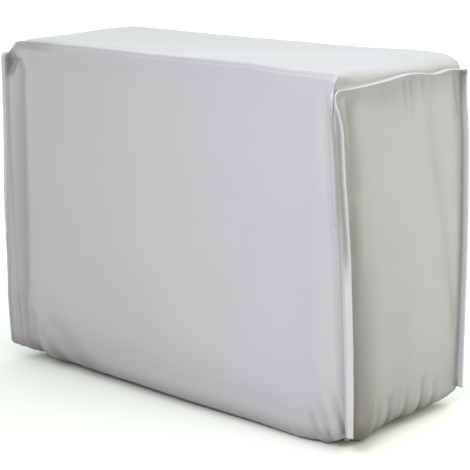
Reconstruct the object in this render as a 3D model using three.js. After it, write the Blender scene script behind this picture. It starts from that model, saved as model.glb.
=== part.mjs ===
// Fitted box-shaped cloth cover. Millimetres, Z up.
// One strip of cloth makes the front, the top and the back. Two sewn end panels
// close the sides. Each side seam stands outward as a fin that a folded tape binds.
// The hem is gathered and turned under all the way round, and the bottom is open.
import * as THREE from "three";

// Driving dimensions
const WIDTH = 780; // along X, seam to seam
const DEPTH = 320; // along Y
const TOP_Z = 560; // top crease above the mean hem line
const CLOTH = 1.0; // thickness of one layer
const TAPE = 0.8; // thickness of the edge tape
const FIN = 13.5; // width of the standing seam
const FIN_GAP = 0.45; // clearance between layers in the fin
const CORNER_R = 10; // seam radius where it turns from upright to level
const CREASE_R = 11; // soft fold between front and top
const HEM_INSET = 25; // how far the hem turns under
const LIP = 15; // flat lip inside the turned hem
const END_COLS = 16; // columns of an end panel
const HALF_W = WIDTH / 2;
const HALF_D = DEPTH / 2;

// Small maths helpers
const clamp = (v, a = 0, b = 1) => Math.min(b, Math.max(a, v));
const smooth = (v) => { const t = clamp(v); return t * t * (3 - 2 * t); };
const mix = (a, b, t) => a + (b - a) * t;
const bell = (d, r) => Math.exp(-(d / r) * (d / r));

// Smooth curve through the rows of a table, held level past both ends
function curve(table, key, value) {
  const k = table.map((r) => r[key]);
  const v = table.map((r) => r[value]);
  const n = k.length;
  const slope = (i) => {
    if (i === 0 || i === n - 1) return 0;
    const a = (v[i] - v[i - 1]) / (k[i] - k[i - 1]);
    const b = (v[i + 1] - v[i]) / (k[i + 1] - k[i]);
    return a * b <= 0 ? 0 : (2 * a * b) / (a + b);
  };
  return (t) => {
    if (t <= k[0]) return v[0];
    if (t >= k[n - 1]) return v[n - 1];
    let i = 0;
    while (t > k[i + 1]) i++;
    const h = k[i + 1] - k[i];
    const u = (t - k[i]) / h;
    const m0 = slope(i) * h;
    const m1 = slope(i + 1) * h;
    const u2 = u * u;
    const u3 = u2 * u;
    return v[i] * (2 * u3 - 3 * u2 + 1) + m0 * (u3 - 2 * u2 + u)
      + v[i + 1] * (-2 * u3 + 3 * u2) + m1 * (u3 - u2);
  };
}

// Upright seams: distance from the middle, by height
const seamFrontRight = curve([
  { z: 4, x: 405 }, { z: 60, x: 406 }, { z: 160, x: 404 }, { z: 264, x: 399 },
  { z: 335, x: 393 }, { z: 402, x: 383 }, { z: 451, x: 377 }, { z: 490, x: 376 }, { z: 521, x: 377 },
], "z", "x");
const seamBackRight = curve([
  { z: 4, x: 382 }, { z: 122, x: 384 }, { z: 275, x: 386 }, { z: 423, x: 384 },
  { z: 522, x: 378 },
], "z", "x");
const seamFrontLeft = curve([
  { z: 4, x: 393 }, { z: 82, x: 397 }, { z: 200, x: 394 }, { z: 290, x: 391 },
  { z: 419, x: 388 }, { z: 524, x: 388 },
], "z", "x");
const seamBackLeft = curve([
  { z: 4, x: 390 }, { z: 140, x: 393 }, { z: 300, x: 392 }, { z: 522, x: 396 },
], "z", "x");
// How far the front left seam sits behind the front plane, by height
const seamLeftBack = curve([
  { z: 4, d: 2 }, { z: 200, d: 3 }, { z: 350, d: 7 }, { z: 518, d: 10 },
], "z", "d");

// Level seams over the ends: height and distance from the middle, by depth
const topSeamRight = [
  { y: -150, z: 531, x: 380 }, { y: -111, z: 537, x: 385 }, { y: -70, z: 535, x: 388 },
  { y: -22, z: 541, x: 390 }, { y: 23, z: 542, x: 390 }, { y: 62, z: 537, x: 389 },
  { y: 112, z: 539, x: 386 }, { y: 152, z: 537, x: 382 },
];
const topSeamLeft = [
  { y: -142, z: 527, x: 390 }, { y: -60, z: 538, x: 396 }, { y: 20, z: 536, x: 399 },
  { y: 90, z: 540, x: 401 }, { y: 152, z: 537, x: 400 },
];

// The ridge above each level seam: where the flat top starts, by depth
const ridgeRight = curve([
  { y: -160, x: 364 }, { y: -60, x: 350 }, { y: 60, x: 338 }, { y: 160, x: 326 },
], "y", "x");
const ridgeLeft = curve([
  { y: -160, x: 340 }, { y: -60, x: 358 }, { y: 30, x: 370 }, { y: 160, x: 382 },
], "y", "x");
// How square the cloth turns over the end, by depth
const squareRight = curve([
  { y: -160, p: 6 }, { y: -148, p: 4.6 }, { y: -110, p: 3 }, { y: 0, p: 2.6 },
  { y: 160, p: 2.2 },
], "y", "p");
const squareLeft = curve([
  { y: -160, p: 2.8 }, { y: -60, p: 3.2 }, { y: 160, p: 3.8 },
], "y", "p");

// Crown of the top's front and back creases, along X
const crownFront = curve([
  { x: -372, z: -3 }, { x: -330, z: 0 }, { x: -244, z: 2.5 }, { x: -102, z: 3 }, { x: 7, z: 1.5 },
  { x: 193, z: 2.5 }, { x: 295, z: -1 }, { x: 372, z: -1 },
], "x", "z");
const crownBack = curve([
  { x: -380, z: 2 }, { x: -258, z: 1 }, { x: -105, z: -0.5 }, { x: 37, z: -0.5 },
  { x: 171, z: -1 }, { x: 297, z: 1.5 }, { x: 350, z: 0 },
], "x", "z");

// Lowest line of the hem, along X for front and back, along Y for the ends
const hemFront = curve([
  { x: -398, z: 0 }, { x: -378, z: -9 }, { x: -345, z: -14 }, { x: -257, z: -18 },
  { x: -24, z: -20 }, { x: 95, z: -22 }, { x: 207, z: -24 }, { x: 262, z: -27 },
  { x: 286, z: -28 }, { x: 306, z: -26 }, { x: 340, z: -24 }, { x: 375, z: -16 },
  { x: 404, z: -3 },
], "x", "z");
const hemBack = curve([
  { x: -390, z: -2 }, { x: -350, z: -14 }, { x: -180, z: -18 }, { x: 60, z: -21 },
  { x: 260, z: -17 }, { x: 350, z: -13 }, { x: 384, z: -2 },
], "x", "z");
const hemRight = curve([
  { y: -160, z: -3 }, { y: -140, z: -10 }, { y: -112, z: -18 }, { y: -88, z: -24 },
  { y: -56, z: -23 }, { y: -30, z: -22 }, { y: -5, z: -18 }, { y: 21, z: -17 },
  { y: 45, z: -18 }, { y: 59, z: -13 }, { y: 74, z: -17 }, { y: 101, z: -20 },
  { y: 130, z: -17 }, { y: 160, z: -5 },
], "y", "z");
const hemLeft = curve([
  { y: -160, z: -1 }, { y: -120, z: -13 }, { y: -50, z: -18 }, { y: 20, z: -16 },
  { y: 90, z: -20 }, { y: 130, z: -12 }, { y: 160, z: -2 },
], "y", "z");

// Folds drawn as soft lines on a panel: from (a0, z0) to (a1, z1), half width r, height h
const FRONT_FOLDS = [
  { a0: 375, z0: 70, a1: 389, z1: 2, r: 7, h: -3.5 },
  { a0: 363, z0: 60, a1: 379, z1: 0, r: 8, h: 3 },
  { a0: 350, z0: 120, a1: 372, z1: 40, r: 12, h: 2.5 },
  { a0: 332, z0: 12, a1: 338, z1: 4, r: 14, h: -4.5 },
  { a0: 296, z0: 26, a1: 318, z1: -16, r: 10, h: 2.5 },
  { a0: -390, z0: 90, a1: -382, z1: -6, r: 7, h: 3 },
  { a0: -380, z0: 104, a1: -368, z1: -10, r: 7, h: -4 },
  { a0: -372, z0: 92, a1: -352, z1: -10, r: 8, h: 3.5 },
  { a0: -357, z0: 74, a1: -334, z1: -8, r: 8, h: -4 },
  { a0: -330, z0: 44, a1: -268, z1: 0, r: 9, h: 4.5 },
  { a0: -318, z0: 16, a1: -290, z1: -12, r: 9, h: -3.5 },
  { a0: -372, z0: 536, a1: -330, z1: 470, r: 12, h: -3 },
  { a0: -362, z0: 548, a1: -290, z1: 520, r: 10, h: 2.5 },
  { a0: 350, z0: 540, a1: 300, z1: 500, r: 16, h: -1.5 },
];
const BACK_FOLDS = [
  { a0: -372, z0: 80, a1: -350, z1: -8, r: 9, h: -4 },
  { a0: -350, z0: 60, a1: -320, z1: -12, r: 9, h: 3.5 },
  { a0: 300, z0: 50, a1: 318, z1: -12, r: 10, h: -3.5 },
  { a0: 345, z0: 110, a1: 360, z1: -6, r: 9, h: 3.5 },
  { a0: -350, z0: 520, a1: -250, z1: 420, r: 24, h: -3 },
  { a0: 330, z0: 510, a1: 240, z1: 400, r: 26, h: -3 },
];
const RIGHT_FOLDS = [
  { a0: -128, z0: 520, a1: -118, z1: 360, r: 17, h: -5 },
  { a0: -116, z0: 380, a1: -109, z1: 60, r: 17, h: -6 },
  { a0: 12, z0: 524, a1: 26, z1: 350, r: 30, h: 6.5 },
  { a0: 26, z0: 350, a1: 73, z1: 172, r: 32, h: 7.5 },
  { a0: 73, z0: 172, a1: 66, z1: 50, r: 30, h: 5 },
  { a0: 33, z0: 520, a1: 66, z1: 400, r: 13, h: -4 },
  { a0: 66, z0: 400, a1: 104, z1: 248, r: 14, h: -5 },
  { a0: 104, z0: 248, a1: 140, z1: 90, r: 15, h: -4 },
  { a0: 102, z0: 500, a1: 119, z1: 320, r: 15, h: 3.5 },
  { a0: 4, z0: 530, a1: 10, z1: 492, r: 7, h: 2.5 },
  { a0: 42, z0: 528, a1: 52, z1: 488, r: 8, h: 2.5 },
  { a0: -142, z0: 522, a1: -134, z1: 462, r: 7, h: -2.5 },
  { a0: -103, z0: 14, a1: -106, z1: -20, r: 8, h: -4.5 },
  { a0: -62, z0: 22, a1: -64, z1: -18, r: 7, h: -4.5 },
  { a0: -26, z0: 26, a1: -28, z1: -18, r: 7, h: -4.5 },
  { a0: 15, z0: 26, a1: 14, z1: -14, r: 7, h: -4 },
  { a0: 56, z0: 34, a1: 58, z1: -12, r: 7, h: -4.5 },
  { a0: 93, z0: 30, a1: 96, z1: -14, r: 8, h: -3 },
];
const LEFT_FOLDS = [
  { a0: -96, z0: 500, a1: -70, z1: 120, r: 26, h: -5 },
  { a0: -20, z0: 520, a1: 4, z1: 90, r: 34, h: 6 },
  { a0: 70, z0: 520, a1: 96, z1: 120, r: 26, h: -4 },
  { a0: -90, z0: 26, a1: -92, z1: -12, r: 8, h: -4 },
  { a0: -40, z0: 30, a1: -42, z1: -14, r: 8, h: -4.5 },
  { a0: 12, z0: 26, a1: 14, z1: -14, r: 8, h: -4 },
  { a0: 66, z0: 30, a1: 64, z1: -16, r: 8, h: -4 },
];

// Height of a panel's folds at one spot
function foldHeight(folds, a, z) {
  let sum = 0;
  for (const f of folds) {
    const da = f.a1 - f.a0;
    const dz = f.z1 - f.z0;
    const t = clamp(((a - f.a0) * da + (z - f.z0) * dz) / (da * da + dz * dz));
    const d = Math.hypot(a - f.a0 - t * da, z - f.z0 - t * dz);
    sum += f.h * bell(d, f.r);
  }
  return sum;
}

// Outward relief of each panel
function reliefFront(x, z) {
  const left = -7 * smooth((-262 - x) / 110) * smooth((z - 60) / 220);
  const right = 4 * bell(x - 346, 34) * smooth((z - 40) / 80);
  const wave = 1.3 * Math.sin(x / 71 + z / 150) + 1.1 * Math.sin(x / 43 - z / 88 + 1.7);
  const belly = 2.5 * bell(x - 60, 230) * Math.sin((Math.PI * clamp(z, 0, 540)) / 560);
  return left + right + wave + belly + foldHeight(FRONT_FOLDS, x, z);
}
function reliefBack(x, z) {
  const wave = 1.8 * Math.sin(x / 83 - z / 140 + 0.6) + 1.2 * Math.sin(x / 47 + z / 97);
  const belly = 4 * bell(x + 40, 240) * Math.sin((Math.PI * clamp(z, 0, 540)) / 560);
  return wave + belly + foldHeight(BACK_FOLDS, x, z);
}
function reliefTop(x, y) {
  const dip = -3 * bell(x - 40, 260) * bell(y, 110);
  return dip + 0.9 * Math.sin(x / 77 + y / 60) + 0.6 * Math.sin(x / 39 - y / 45 + 2);
}
const reliefRight = (y, z) =>
  foldHeight(RIGHT_FOLDS, y, z) + 0.9 * Math.sin(y / 24 + z / 110);
const reliefLeft = (y, z) =>
  foldHeight(LEFT_FOLDS, y, z) + 1.1 * Math.sin(y / 27 - z / 120);

// Stations along a seam: up the front, round a corner, over the end, and down the back
const WALL_STEPS = [0, 0.033, 0.075, 0.125, 0.19, 0.265, 0.345, 0.425, 0.505, 0.585, 0.665,
  0.745, 0.83, 0.915, 1];
const CORNER_STEPS = 4;
const TOP_STEPS = 12;
const FOOT = 5; // height of the fin's square end
const lastWall = WALL_STEPS.length - 1;
const cornerEnd = lastWall + CORNER_STEPS;
const topEnd = cornerEnd + TOP_STEPS;
const backCornerEnd = topEnd + CORNER_STEPS;
const LAST = backCornerEnd + lastWall;

// How far a fin is bent back toward the end panel, by height, front then back
const bendRight = curve([
  { z: 4, a: 0.06 }, { z: 280, a: 0.1 }, { z: 350, a: 0.36 }, { z: 400, a: 0.56 },
  { z: 440, a: 0.56 }, { z: 480, a: 0.38 }, { z: 522, a: 0.16 },
], "z", "a");
const bendLeft = curve([
  { z: 4, a: 0.62 }, { z: 120, a: 0.62 }, { z: 210, a: 0.4 }, { z: 300, a: 0.12 },
  { z: 530, a: 0.06 },
], "z", "a");

// Seam line of one side. side is +1 for the right and -1 for the left.
function makeSeam(side) {
  const front = side > 0 ? seamFrontRight : seamFrontLeft;
  const back = side > 0 ? seamBackRight : seamBackLeft;
  const table = side > 0 ? topSeamRight : topSeamLeft;
  const topX = curve(table, "y", "x");
  const topZ = curve(table, "y", "z");
  const setBack = (z) => (side > 0 ? 0 : seamLeftBack(z));
  const edge = HALF_D - CORNER_R;
  const first = CORNER_R - HALF_D + setBack(TOP_Z);
  const frontTop = topZ(first) - CORNER_R;
  const backTop = topZ(edge) - CORNER_R;
  const bend = side > 0 ? bendRight : bendLeft;
  return (i) => {
    let x, y, z, turn, lean;
    if (i <= lastWall) {
      z = mix(FOOT, frontTop, WALL_STEPS[i]);
      x = front(z);
      y = -HALF_D + setBack(z);
      turn = 0;
      lean = bend(z);
    } else if (i < cornerEnd) {
      const t = (i - lastWall) / CORNER_STEPS;
      const a = (t * Math.PI) / 2;
      const back0 = setBack(frontTop);
      z = frontTop + CORNER_R * Math.sin(a);
      y = mix(-HALF_D + back0, first, 1 - Math.cos(a));
      x = mix(front(frontTop), topX(first), smooth(t));
      turn = a;
      lean = mix(bend(frontTop), 0.12, t);
    } else if (i <= topEnd) {
      y = mix(first, edge, (i - cornerEnd) / TOP_STEPS);
      x = topX(y);
      z = topZ(y);
      turn = Math.PI / 2;
      lean = 0.12;
    } else if (i < backCornerEnd) {
      const t = (i - topEnd) / CORNER_STEPS;
      const a = (t * Math.PI) / 2;
      y = edge + CORNER_R * Math.sin(a);
      z = backTop + CORNER_R * Math.cos(a);
      x = mix(topX(edge), back(backTop), smooth(t));
      turn = Math.PI / 2 + a;
      lean = 0.12;
    } else {
      z = mix(FOOT, backTop, WALL_STEPS[LAST - i]);
      x = back(z);
      y = HALF_D;
      turn = Math.PI;
      lean = 0.12;
    }
    return { x: side * x, y, z, turn, lean, side };
  };
}

// A point of the fin: w outward along it, n across its layers
const BEND_FROM = 0.5;
const BEND_TO = 2.6;
function finPoint(seam, i, w, n) {
  const s = seam(i);
  const span = BEND_TO - BEND_FROM;
  let along = w;
  let drop = 0;
  let angle = 0;
  if (w > BEND_FROM && s.lean > 1e-6) {
    const part = Math.min(w, BEND_TO) - BEND_FROM;
    angle = (s.lean * part) / span;
    const radius = span / s.lean;
    along = BEND_FROM + radius * Math.sin(angle);
    drop = radius * (1 - Math.cos(angle));
    if (w > BEND_TO) {
      along += (w - BEND_TO) * Math.cos(angle);
      drop += (w - BEND_TO) * Math.sin(angle);
    }
  }
  const out = along + n * Math.sin(angle);
  const up = -drop + n * Math.cos(angle);
  // up follows the wrap's outward normal: forward, then upward, then backward
  return new THREE.Vector3(
    s.x + s.side * out,
    s.y - up * Math.cos(s.turn),
    s.z + up * Math.sin(s.turn),
  );
}

// An open surface built from named corners, later thickened to a closed solid
class Sheet {
  constructor() {
    this.points = [];
    this.names = new Map();
    this.faces = [];
  }
  put(name, point) {
    if (!this.names.has(name)) {
      this.names.set(name, this.points.length);
      this.points.push(point);
    }
    return this.names.get(name);
  }
  // split names the corner a diagonal starts from, so that layers crease alike
  quad(a, b, c, d, split = "") {
    const [p, q, r, s] = [a, b, c, d].map((n) => this.points[this.names.get(n)]);
    const [i, j, k, l] = [a, b, c, d].map((n) => this.names.get(n));
    const first = split ? split === "first" : p.distanceTo(r) <= q.distanceTo(s);
    if (first) this.faces.push([i, j, k], [i, k, l]);
    else this.faces.push([i, j, l], [j, k, l]);
  }
}

function thicken(sheet, thickness) {
  const count = sheet.points.length;
  const normals = sheet.points.map(() => new THREE.Vector3());
  const u = new THREE.Vector3();
  const v = new THREE.Vector3();
  const edges = new Map();
  for (const f of sheet.faces) {
    for (let k = 0; k < 3; k++) {
      const a = sheet.points[f[k]];
      u.subVectors(sheet.points[f[(k + 1) % 3]], a).normalize();
      v.subVectors(sheet.points[f[(k + 2) % 3]], a).normalize();
      const angle = Math.acos(clamp(u.dot(v), -1, 1));
      normals[f[k]].addScaledVector(u.cross(v).normalize(), angle);
      edges.set(f[k] + ">" + f[(k + 1) % 3], [f[k], f[(k + 1) % 3]]);
    }
  }
  const position = new Float32Array(count * 6);
  sheet.points.forEach((p, i) => {
    const n = normals[i].normalize();
    for (const [block, sign] of [[0, 1], [count, -1]]) {
      const q = p.clone().addScaledVector(n, (sign * thickness) / 2);
      position.set([q.x, q.y, q.z], (block + i) * 3);
    }
  });
  const index = [];
  for (const [a, b, c] of sheet.faces) {
    index.push(a, b, c, a + count, c + count, b + count);
  }
  for (const [a, b] of edges.values()) {
    if (edges.has(b + ">" + a)) continue;
    index.push(b, a, a + count, b, a + count, b + count);
  }
  const geometry = new THREE.BufferGeometry();
  geometry.setAttribute("position", new THREE.BufferAttribute(position, 3));
  geometry.setIndex(index);
  return faceOut(geometry);
}

// Turns the faces of a closed geometry outward
function faceOut(geometry) {
  const p = geometry.getAttribute("position");
  const index = geometry.getIndex();
  const corner = (k) => new THREE.Vector3().fromBufferAttribute(p, index.getX(k));
  let volume = 0;
  for (let k = 0; k < index.count; k += 3) {
    volume += corner(k).dot(corner(k + 1).cross(corner(k + 2)));
  }
  if (volume < 0) {
    for (let k = 0; k < index.count; k += 3) {
      const b = index.getX(k + 1);
      index.setX(k + 1, index.getX(k + 2));
      index.setX(k + 2, b);
    }
  }
  return geometry;
}

const seamRight = makeSeam(1);
const seamLeft = makeSeam(-1);

// Hem turn under: angle steps, then the flat lip
const HEM_STEPS = [18, 38, 60, 82];
function hemProfile(step, drop, inset) {
  if (step < HEM_STEPS.length) {
    const a = (HEM_STEPS[step] * Math.PI) / 180;
    return { in: inset * (1 - Math.cos(a)), down: drop * Math.sin(a) };
  }
  return { in: inset + LIP * clamp(inset / HEM_INSET, 0.35, 1), down: drop * 0.97 };
}
const HEM_ROWS = HEM_STEPS.length + 1;

// Wrap panel columns, right to left
const FIN_STEPS = [FIN, BEND_TO, 1.2, -0.4];
const DROP_STEPS = [24, 46, 68];
const BODY_STEPS = [0, 0.022, 0.05, 0.085, 0.13, 0.2, 0.33, 0.5, 0.67, 0.8, 0.87, 0.915,
  0.95, 0.978, 1];
const columns = [
  ...FIN_STEPS.map((w) => ({ kind: "fin", side: 1, w })),
  ...DROP_STEPS.map((a) => ({ kind: "drop", side: 1, a })),
  ...BODY_STEPS.map((f) => ({ kind: "body", f })),
  ...[...DROP_STEPS].reverse().map((a) => ({ kind: "drop", side: -1, a })),
  ...[...FIN_STEPS].reverse().map((w) => ({ kind: "fin", side: -1, w })),
];

// Where the hem's turn begins on a wall, by distance along it
function turnStart(low, toSeam, tall) {
  return mix(FOOT, low + tall, smooth(toSeam / 60));
}

// Middle of the wrap: one point at x for station i
function bodyPoint(i, x) {
  const front = i < cornerEnd;
  if (i <= lastWall || i >= backCornerEnd) {
    const toSeam = Math.min(404 - x, x + 400) - 4;
    const low = front ? hemFront(x) : hemBack(x);
    const tall = front ? mix(62, 46, smooth((x + 400) / 260)) : 48;
    const start = turnStart(low, toSeam, tall);
    const v = WALL_STEPS[front ? i : LAST - i];
    const z = mix(start, TOP_Z - 30, v);
    const y = front ? -HALF_D - reliefFront(x, z) : HALF_D + reliefBack(x, z);
    return new THREE.Vector3(x, y, z);
  }
  const crown = (y) => mix(crownFront(x), crownBack(x), smooth((y + HALF_D) / DEPTH));
  if (i <= cornerEnd || (i >= topEnd && i < backCornerEnd)) {
    // upright piece, then three steps round the crease
    const k = front || i === cornerEnd ? i - lastWall : backCornerEnd - i;
    const side = i <= cornerEnd ? -1 : 1;
    const relief = side < 0 ? reliefFront(x, TOP_Z - 20) : reliefBack(x, TOP_Z - 20);
    const fade = 1 - k / CORNER_STEPS;
    const angle = (Math.max(0, k - 1) / (CORNER_STEPS - 1)) * (Math.PI / 2);
    const z = k <= 0 ? TOP_Z - 30 : TOP_Z - CREASE_R + CREASE_R * Math.sin(angle);
    const y = side * (HALF_D - CREASE_R + CREASE_R * Math.cos(angle) + relief * fade);
    return new THREE.Vector3(x, y, z + crown(y) * smooth(k / 2));
  }
  const inner = HALF_D - CREASE_R;
  const y = mix(-inner, inner, (i - cornerEnd) / TOP_STEPS);
  const near = smooth((inner - Math.abs(y)) / 40);
  return new THREE.Vector3(x, y, TOP_Z + crown(y) + reliefTop(x, y) * near);
}

// Inner limits of the flat part, for station i
function flatLimit(i, side) {
  const s = side > 0 ? seamRight(i) : seamLeft(i);
  const wall = Math.abs(s.x) - 26;
  const ridge = (side > 0 ? ridgeRight : ridgeLeft)(s.y);
  if (i <= lastWall || i >= backCornerEnd) {
    const v = WALL_STEPS[i <= lastWall ? i : LAST - i];
    return side * mix(wall, Math.min(wall, ridge), smooth((v - 0.55) / 0.45) * 0.7);
  }
  let t = 1;
  if (i < cornerEnd) t = mix(0.7, 1, (i - lastWall) / CORNER_STEPS);
  if (i > topEnd) t = mix(1, 0.7, (i - topEnd) / CORNER_STEPS);
  return side * mix(wall, Math.min(wall, ridge), t);
}

function wrapPoint(i, column) {
  if (column.kind === "fin") {
    return finPoint(column.side > 0 ? seamRight : seamLeft, i, column.w, 0);
  }
  if (column.kind === "body") {
    return bodyPoint(i, mix(flatLimit(i, 1), flatLimit(i, -1), column.f));
  }
  const seam = column.side > 0 ? seamRight : seamLeft;
  const s = finPoint(seam, i, -0.4, 0);
  const inner = flatLimit(i, column.side);
  const power = (column.side > 0 ? squareRight : squareLeft)(s.y);
  const a = (column.a * Math.PI) / 180;
  const body = bodyPoint(i, inner);
  const across = Math.pow(Math.cos(a), 2 / power);
  const rise = Math.pow(Math.sin(a), 2 / power);
  const x = mix(inner, s.x, across);
  const on = bodyPoint(i, x);
  const wallPart = i <= lastWall || i >= backCornerEnd;
  const target = wallPart ? on : body;
  return new THREE.Vector3(x, mix(s.y, target.y, rise), mix(s.z, target.z, rise));
}

// Hem rows of the wrap, under station 0 at the front or the last station at the back
function wrapHemPoint(front, step, column) {
  const i = front ? 0 : LAST;
  const p = wrapPoint(i, column);
  const toSeam = Math.min(
    Math.abs(seamRight(i).x - p.x), Math.abs(p.x - seamLeft(i).x));
  const low = (front ? hemFront : hemBack)(p.x);
  const inset = mix(7, HEM_INSET, smooth(toSeam / 46));
  const drop = Math.max(p.z - low, 6);
  const h = hemProfile(step, drop, inset);
  const pull = h.in * (1 - smooth(toSeam / 60)) * Math.sign(p.x);
  return new THREE.Vector3(p.x - pull, p.y + (front ? h.in : -h.in), p.z - h.down);
}

function makeWrap() {
  const sheet = new Sheet();
  const key = (r, c) => r + "," + c;
  const rows = [];
  for (let k = HEM_ROWS - 1; k >= 0; k--) rows.push({ hem: true, front: true, step: k });
  for (let i = 0; i <= LAST; i++) rows.push({ hem: false, i });
  for (let k = 0; k < HEM_ROWS; k++) rows.push({ hem: true, front: false, step: k });
  const beyond = (c) => columns[c].kind === "fin" && columns[c].w > 0;
  rows.forEach((row, r) => columns.forEach((column, c) => {
    if (row.hem && beyond(c)) return;
    const p = row.hem ? wrapHemPoint(row.front, row.step, column)
      : wrapPoint(row.i, column);
    sheet.put(key(r, c), p);
  }));
  for (let r = 0; r + 1 < rows.length; r++) {
    for (let c = 0; c + 1 < columns.length; c++) {
      const hem = rows[r].hem || rows[r + 1].hem;
      if (hem && (beyond(c) || beyond(c + 1))) continue;
      const inFin = columns[c].kind === "fin" && columns[c + 1].kind === "fin";
      const split = inFin ? (columns[c].side > 0 ? "second" : "first") : "";
      sheet.quad(key(r, c), key(r + 1, c), key(r + 1, c + 1), key(r, c + 1), split);
    }
  }
  return thicken(sheet, CLOTH);
}

// End panel: a patch inside the seam line, a flange along it, and a hem
const END_LAYER = -(CLOTH + FIN_GAP);
const EDGE_W = 1.2;
const EDGE_N = -2.8;
function makeEnd(side) {
  const seam = side > 0 ? seamRight : seamLeft;
  const relief = side > 0 ? reliefRight : reliefLeft;
  const hem = side > 0 ? hemRight : hemLeft;
  const half = CORNER_STEPS / 2;
  const wallRows = lastWall + half; // station at the middle of the corner
  const edge = (i) => finPoint(seam, i, EDGE_W, EDGE_N);
  const front = (r) => edge(r);
  const back = (r) => edge(LAST - r);
  const top = (c) => edge(wallRows + c);
  const f0 = front(0);
  const b0 = back(0);
  const bottom = (t) => {
    const p = f0.clone().lerp(b0, t);
    const toSeam = Math.min(p.y - f0.y, b0.y - p.y);
    p.z = turnStart(hem(p.y), toSeam, 42);
    return p;
  };
  const wall = (r, c) => {
    const v = r / wallRows;
    const t = c / END_COLS;
    if (c === 0) return front(r);
    if (c === END_COLS) return back(r);
    if (r === wallRows) return top(c);
    const L = front(r);
    const R = back(r);
    const B = bottom(t);
    const T = top(c);
    const vv = (mix(L.z, R.z, t) - FOOT) / (mix(front(wallRows).z, back(wallRows).z, t) - FOOT);
    const p = L.clone().lerp(R, t);
    p.addScaledVector(B, 1 - vv).addScaledVector(T, vv);
    p.addScaledVector(f0, -(1 - t) * (1 - vv)).addScaledVector(b0, -t * (1 - vv));
    p.addScaledVector(front(wallRows), -(1 - t) * vv);
    p.addScaledVector(back(wallRows), -t * vv);
    const near = Math.min(p.y - L.y, R.y - p.y, 0.8 * (T.z - p.z) + 3);
    p.x += side * relief(p.y, p.z) * smooth(near / 26);
    p.x += side * 3 * Math.sin(Math.PI * t) * Math.sin(Math.PI * clamp(v, 0, 1));
    return p;
  };
  const sheet = new Sheet();
  const key = (r, c) => "w" + r + "," + c;
  for (let r = 0; r <= wallRows; r++) {
    for (let c = 0; c <= END_COLS; c++) sheet.put(key(r, c), wall(r, c));
  }
  for (let k = 0; k < HEM_ROWS; k++) {
    for (let c = 0; c <= END_COLS; c++) {
      const p = wall(0, c);
      const toSeam = Math.min(p.y - f0.y, b0.y - p.y);
      const inset = mix(7, HEM_INSET, smooth(toSeam / 46));
      const h = hemProfile(k, Math.max(p.z - hem(p.y), 6), inset);
      const middle = (f0.y + b0.y) / 2;
      const pull = h.in * (1 - smooth(toSeam / 60)) * Math.sign(p.y - middle);
      sheet.put(key(-1 - k, c), new THREE.Vector3(p.x - side * h.in, p.y - pull, p.z - h.down));
    }
  }
  for (let r = -HEM_ROWS; r < wallRows; r++) {
    for (let c = 0; c < END_COLS; c++) {
      sheet.quad(key(r, c), key(r, c + 1), key(r + 1, c + 1), key(r + 1, c));
    }
  }
  // flange inside the fin
  const onEdge = (i) => {
    if (i <= wallRows) return key(i, 0);
    if (i < LAST - wallRows) return key(wallRows, i - wallRows);
    return key(LAST - i, END_COLS);
  };
  for (let i = 0; i <= LAST; i++) {
    sheet.put("m" + i, finPoint(seam, i, BEND_TO, END_LAYER));
    sheet.put("o" + i, finPoint(seam, i, FIN, END_LAYER));
  }
  for (let i = 0; i < LAST; i++) {
    sheet.quad(onEdge(i), onEdge(i + 1), "m" + (i + 1), "m" + i, "first");
    sheet.quad("m" + i, "m" + (i + 1), "o" + (i + 1), "o" + i, "first");
  }
  return thicken(sheet, CLOTH);
}

// Edge tape: folded round the fin from one hem to the other
function makeTape(side) {
  const seam = side > 0 ? seamRight : seamLeft;
  const outer = CLOTH / 2 + FIN_GAP + TAPE / 2;
  const inner = END_LAYER - outer;
  const fold = FIN + FIN_GAP + TAPE / 2;
  const path = [
    { w: 3.6, n: outer }, { w: fold - 0.6, n: outer }, { w: fold, n: outer - 0.6 },
    { w: fold, n: inner + 0.6 }, { w: fold - 0.6, n: inner }, { w: 3.6, n: inner },
  ];
  const sheet = new Sheet();
  for (let i = 0; i <= LAST; i++) {
    path.forEach((p, k) => sheet.put(i + "," + k, finPoint(seam, i, p.w, p.n)));
  }
  for (let i = 0; i < LAST; i++) {
    for (let k = 0; k + 1 < path.length; k++) {
      const split = k < 3 ? "first" : "second";
      const [a, b] = [i + ",", i + 1 + ","];
      sheet.quad(a + k, b + k, b + (k + 1), a + (k + 1), split);
    }
  }
  return thicken(sheet, TAPE);
}

const group = new THREE.Group();
group.name = "unit_cover";
function add(name, geometry, colour) {
  const material = new THREE.MeshStandardMaterial({
    color: colour, roughness: 0.55, metalness: 0.05, name: name + "_material",
  });
  const mesh = new THREE.Mesh(geometry, material);
  mesh.name = name;
  group.add(mesh);
}

add("wrap_panel", makeWrap(), 0xc3c3c8);
add("end_panel_right", makeEnd(1), 0xc3c3c8);
add("end_panel_left", makeEnd(-1), 0xc3c3c8);
add("seam_binding_right", makeTape(1), 0xd9d9dc);
add("seam_binding_left", makeTape(-1), 0xd9d9dc);

// Bottom centre of the whole cover at the origin
const box = new THREE.Box3().setFromObject(group, true);
const middle = box.getCenter(new THREE.Vector3());
for (const mesh of group.children) {
  mesh.geometry.translate(-middle.x, -middle.y, -box.min.z);
}
console.log("shift", middle.x.toFixed(3), middle.y.toFixed(3), box.min.z.toFixed(3));

export default group;
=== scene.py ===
# %% [markdown]
# # A fitted cloth cover for a box-shaped outdoor unit
# The real cover is sewn from one strip of silver-grey taffeta that runs up the front,
# over the top and down the back, with a flat panel let in at each end. The seams stand
# outward as thin fins, bound in a lighter tape, and an elastic draws the hem under.

# %% Load the frame
import math

import bpy
from mathutils import Matrix, Vector, noise


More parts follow.
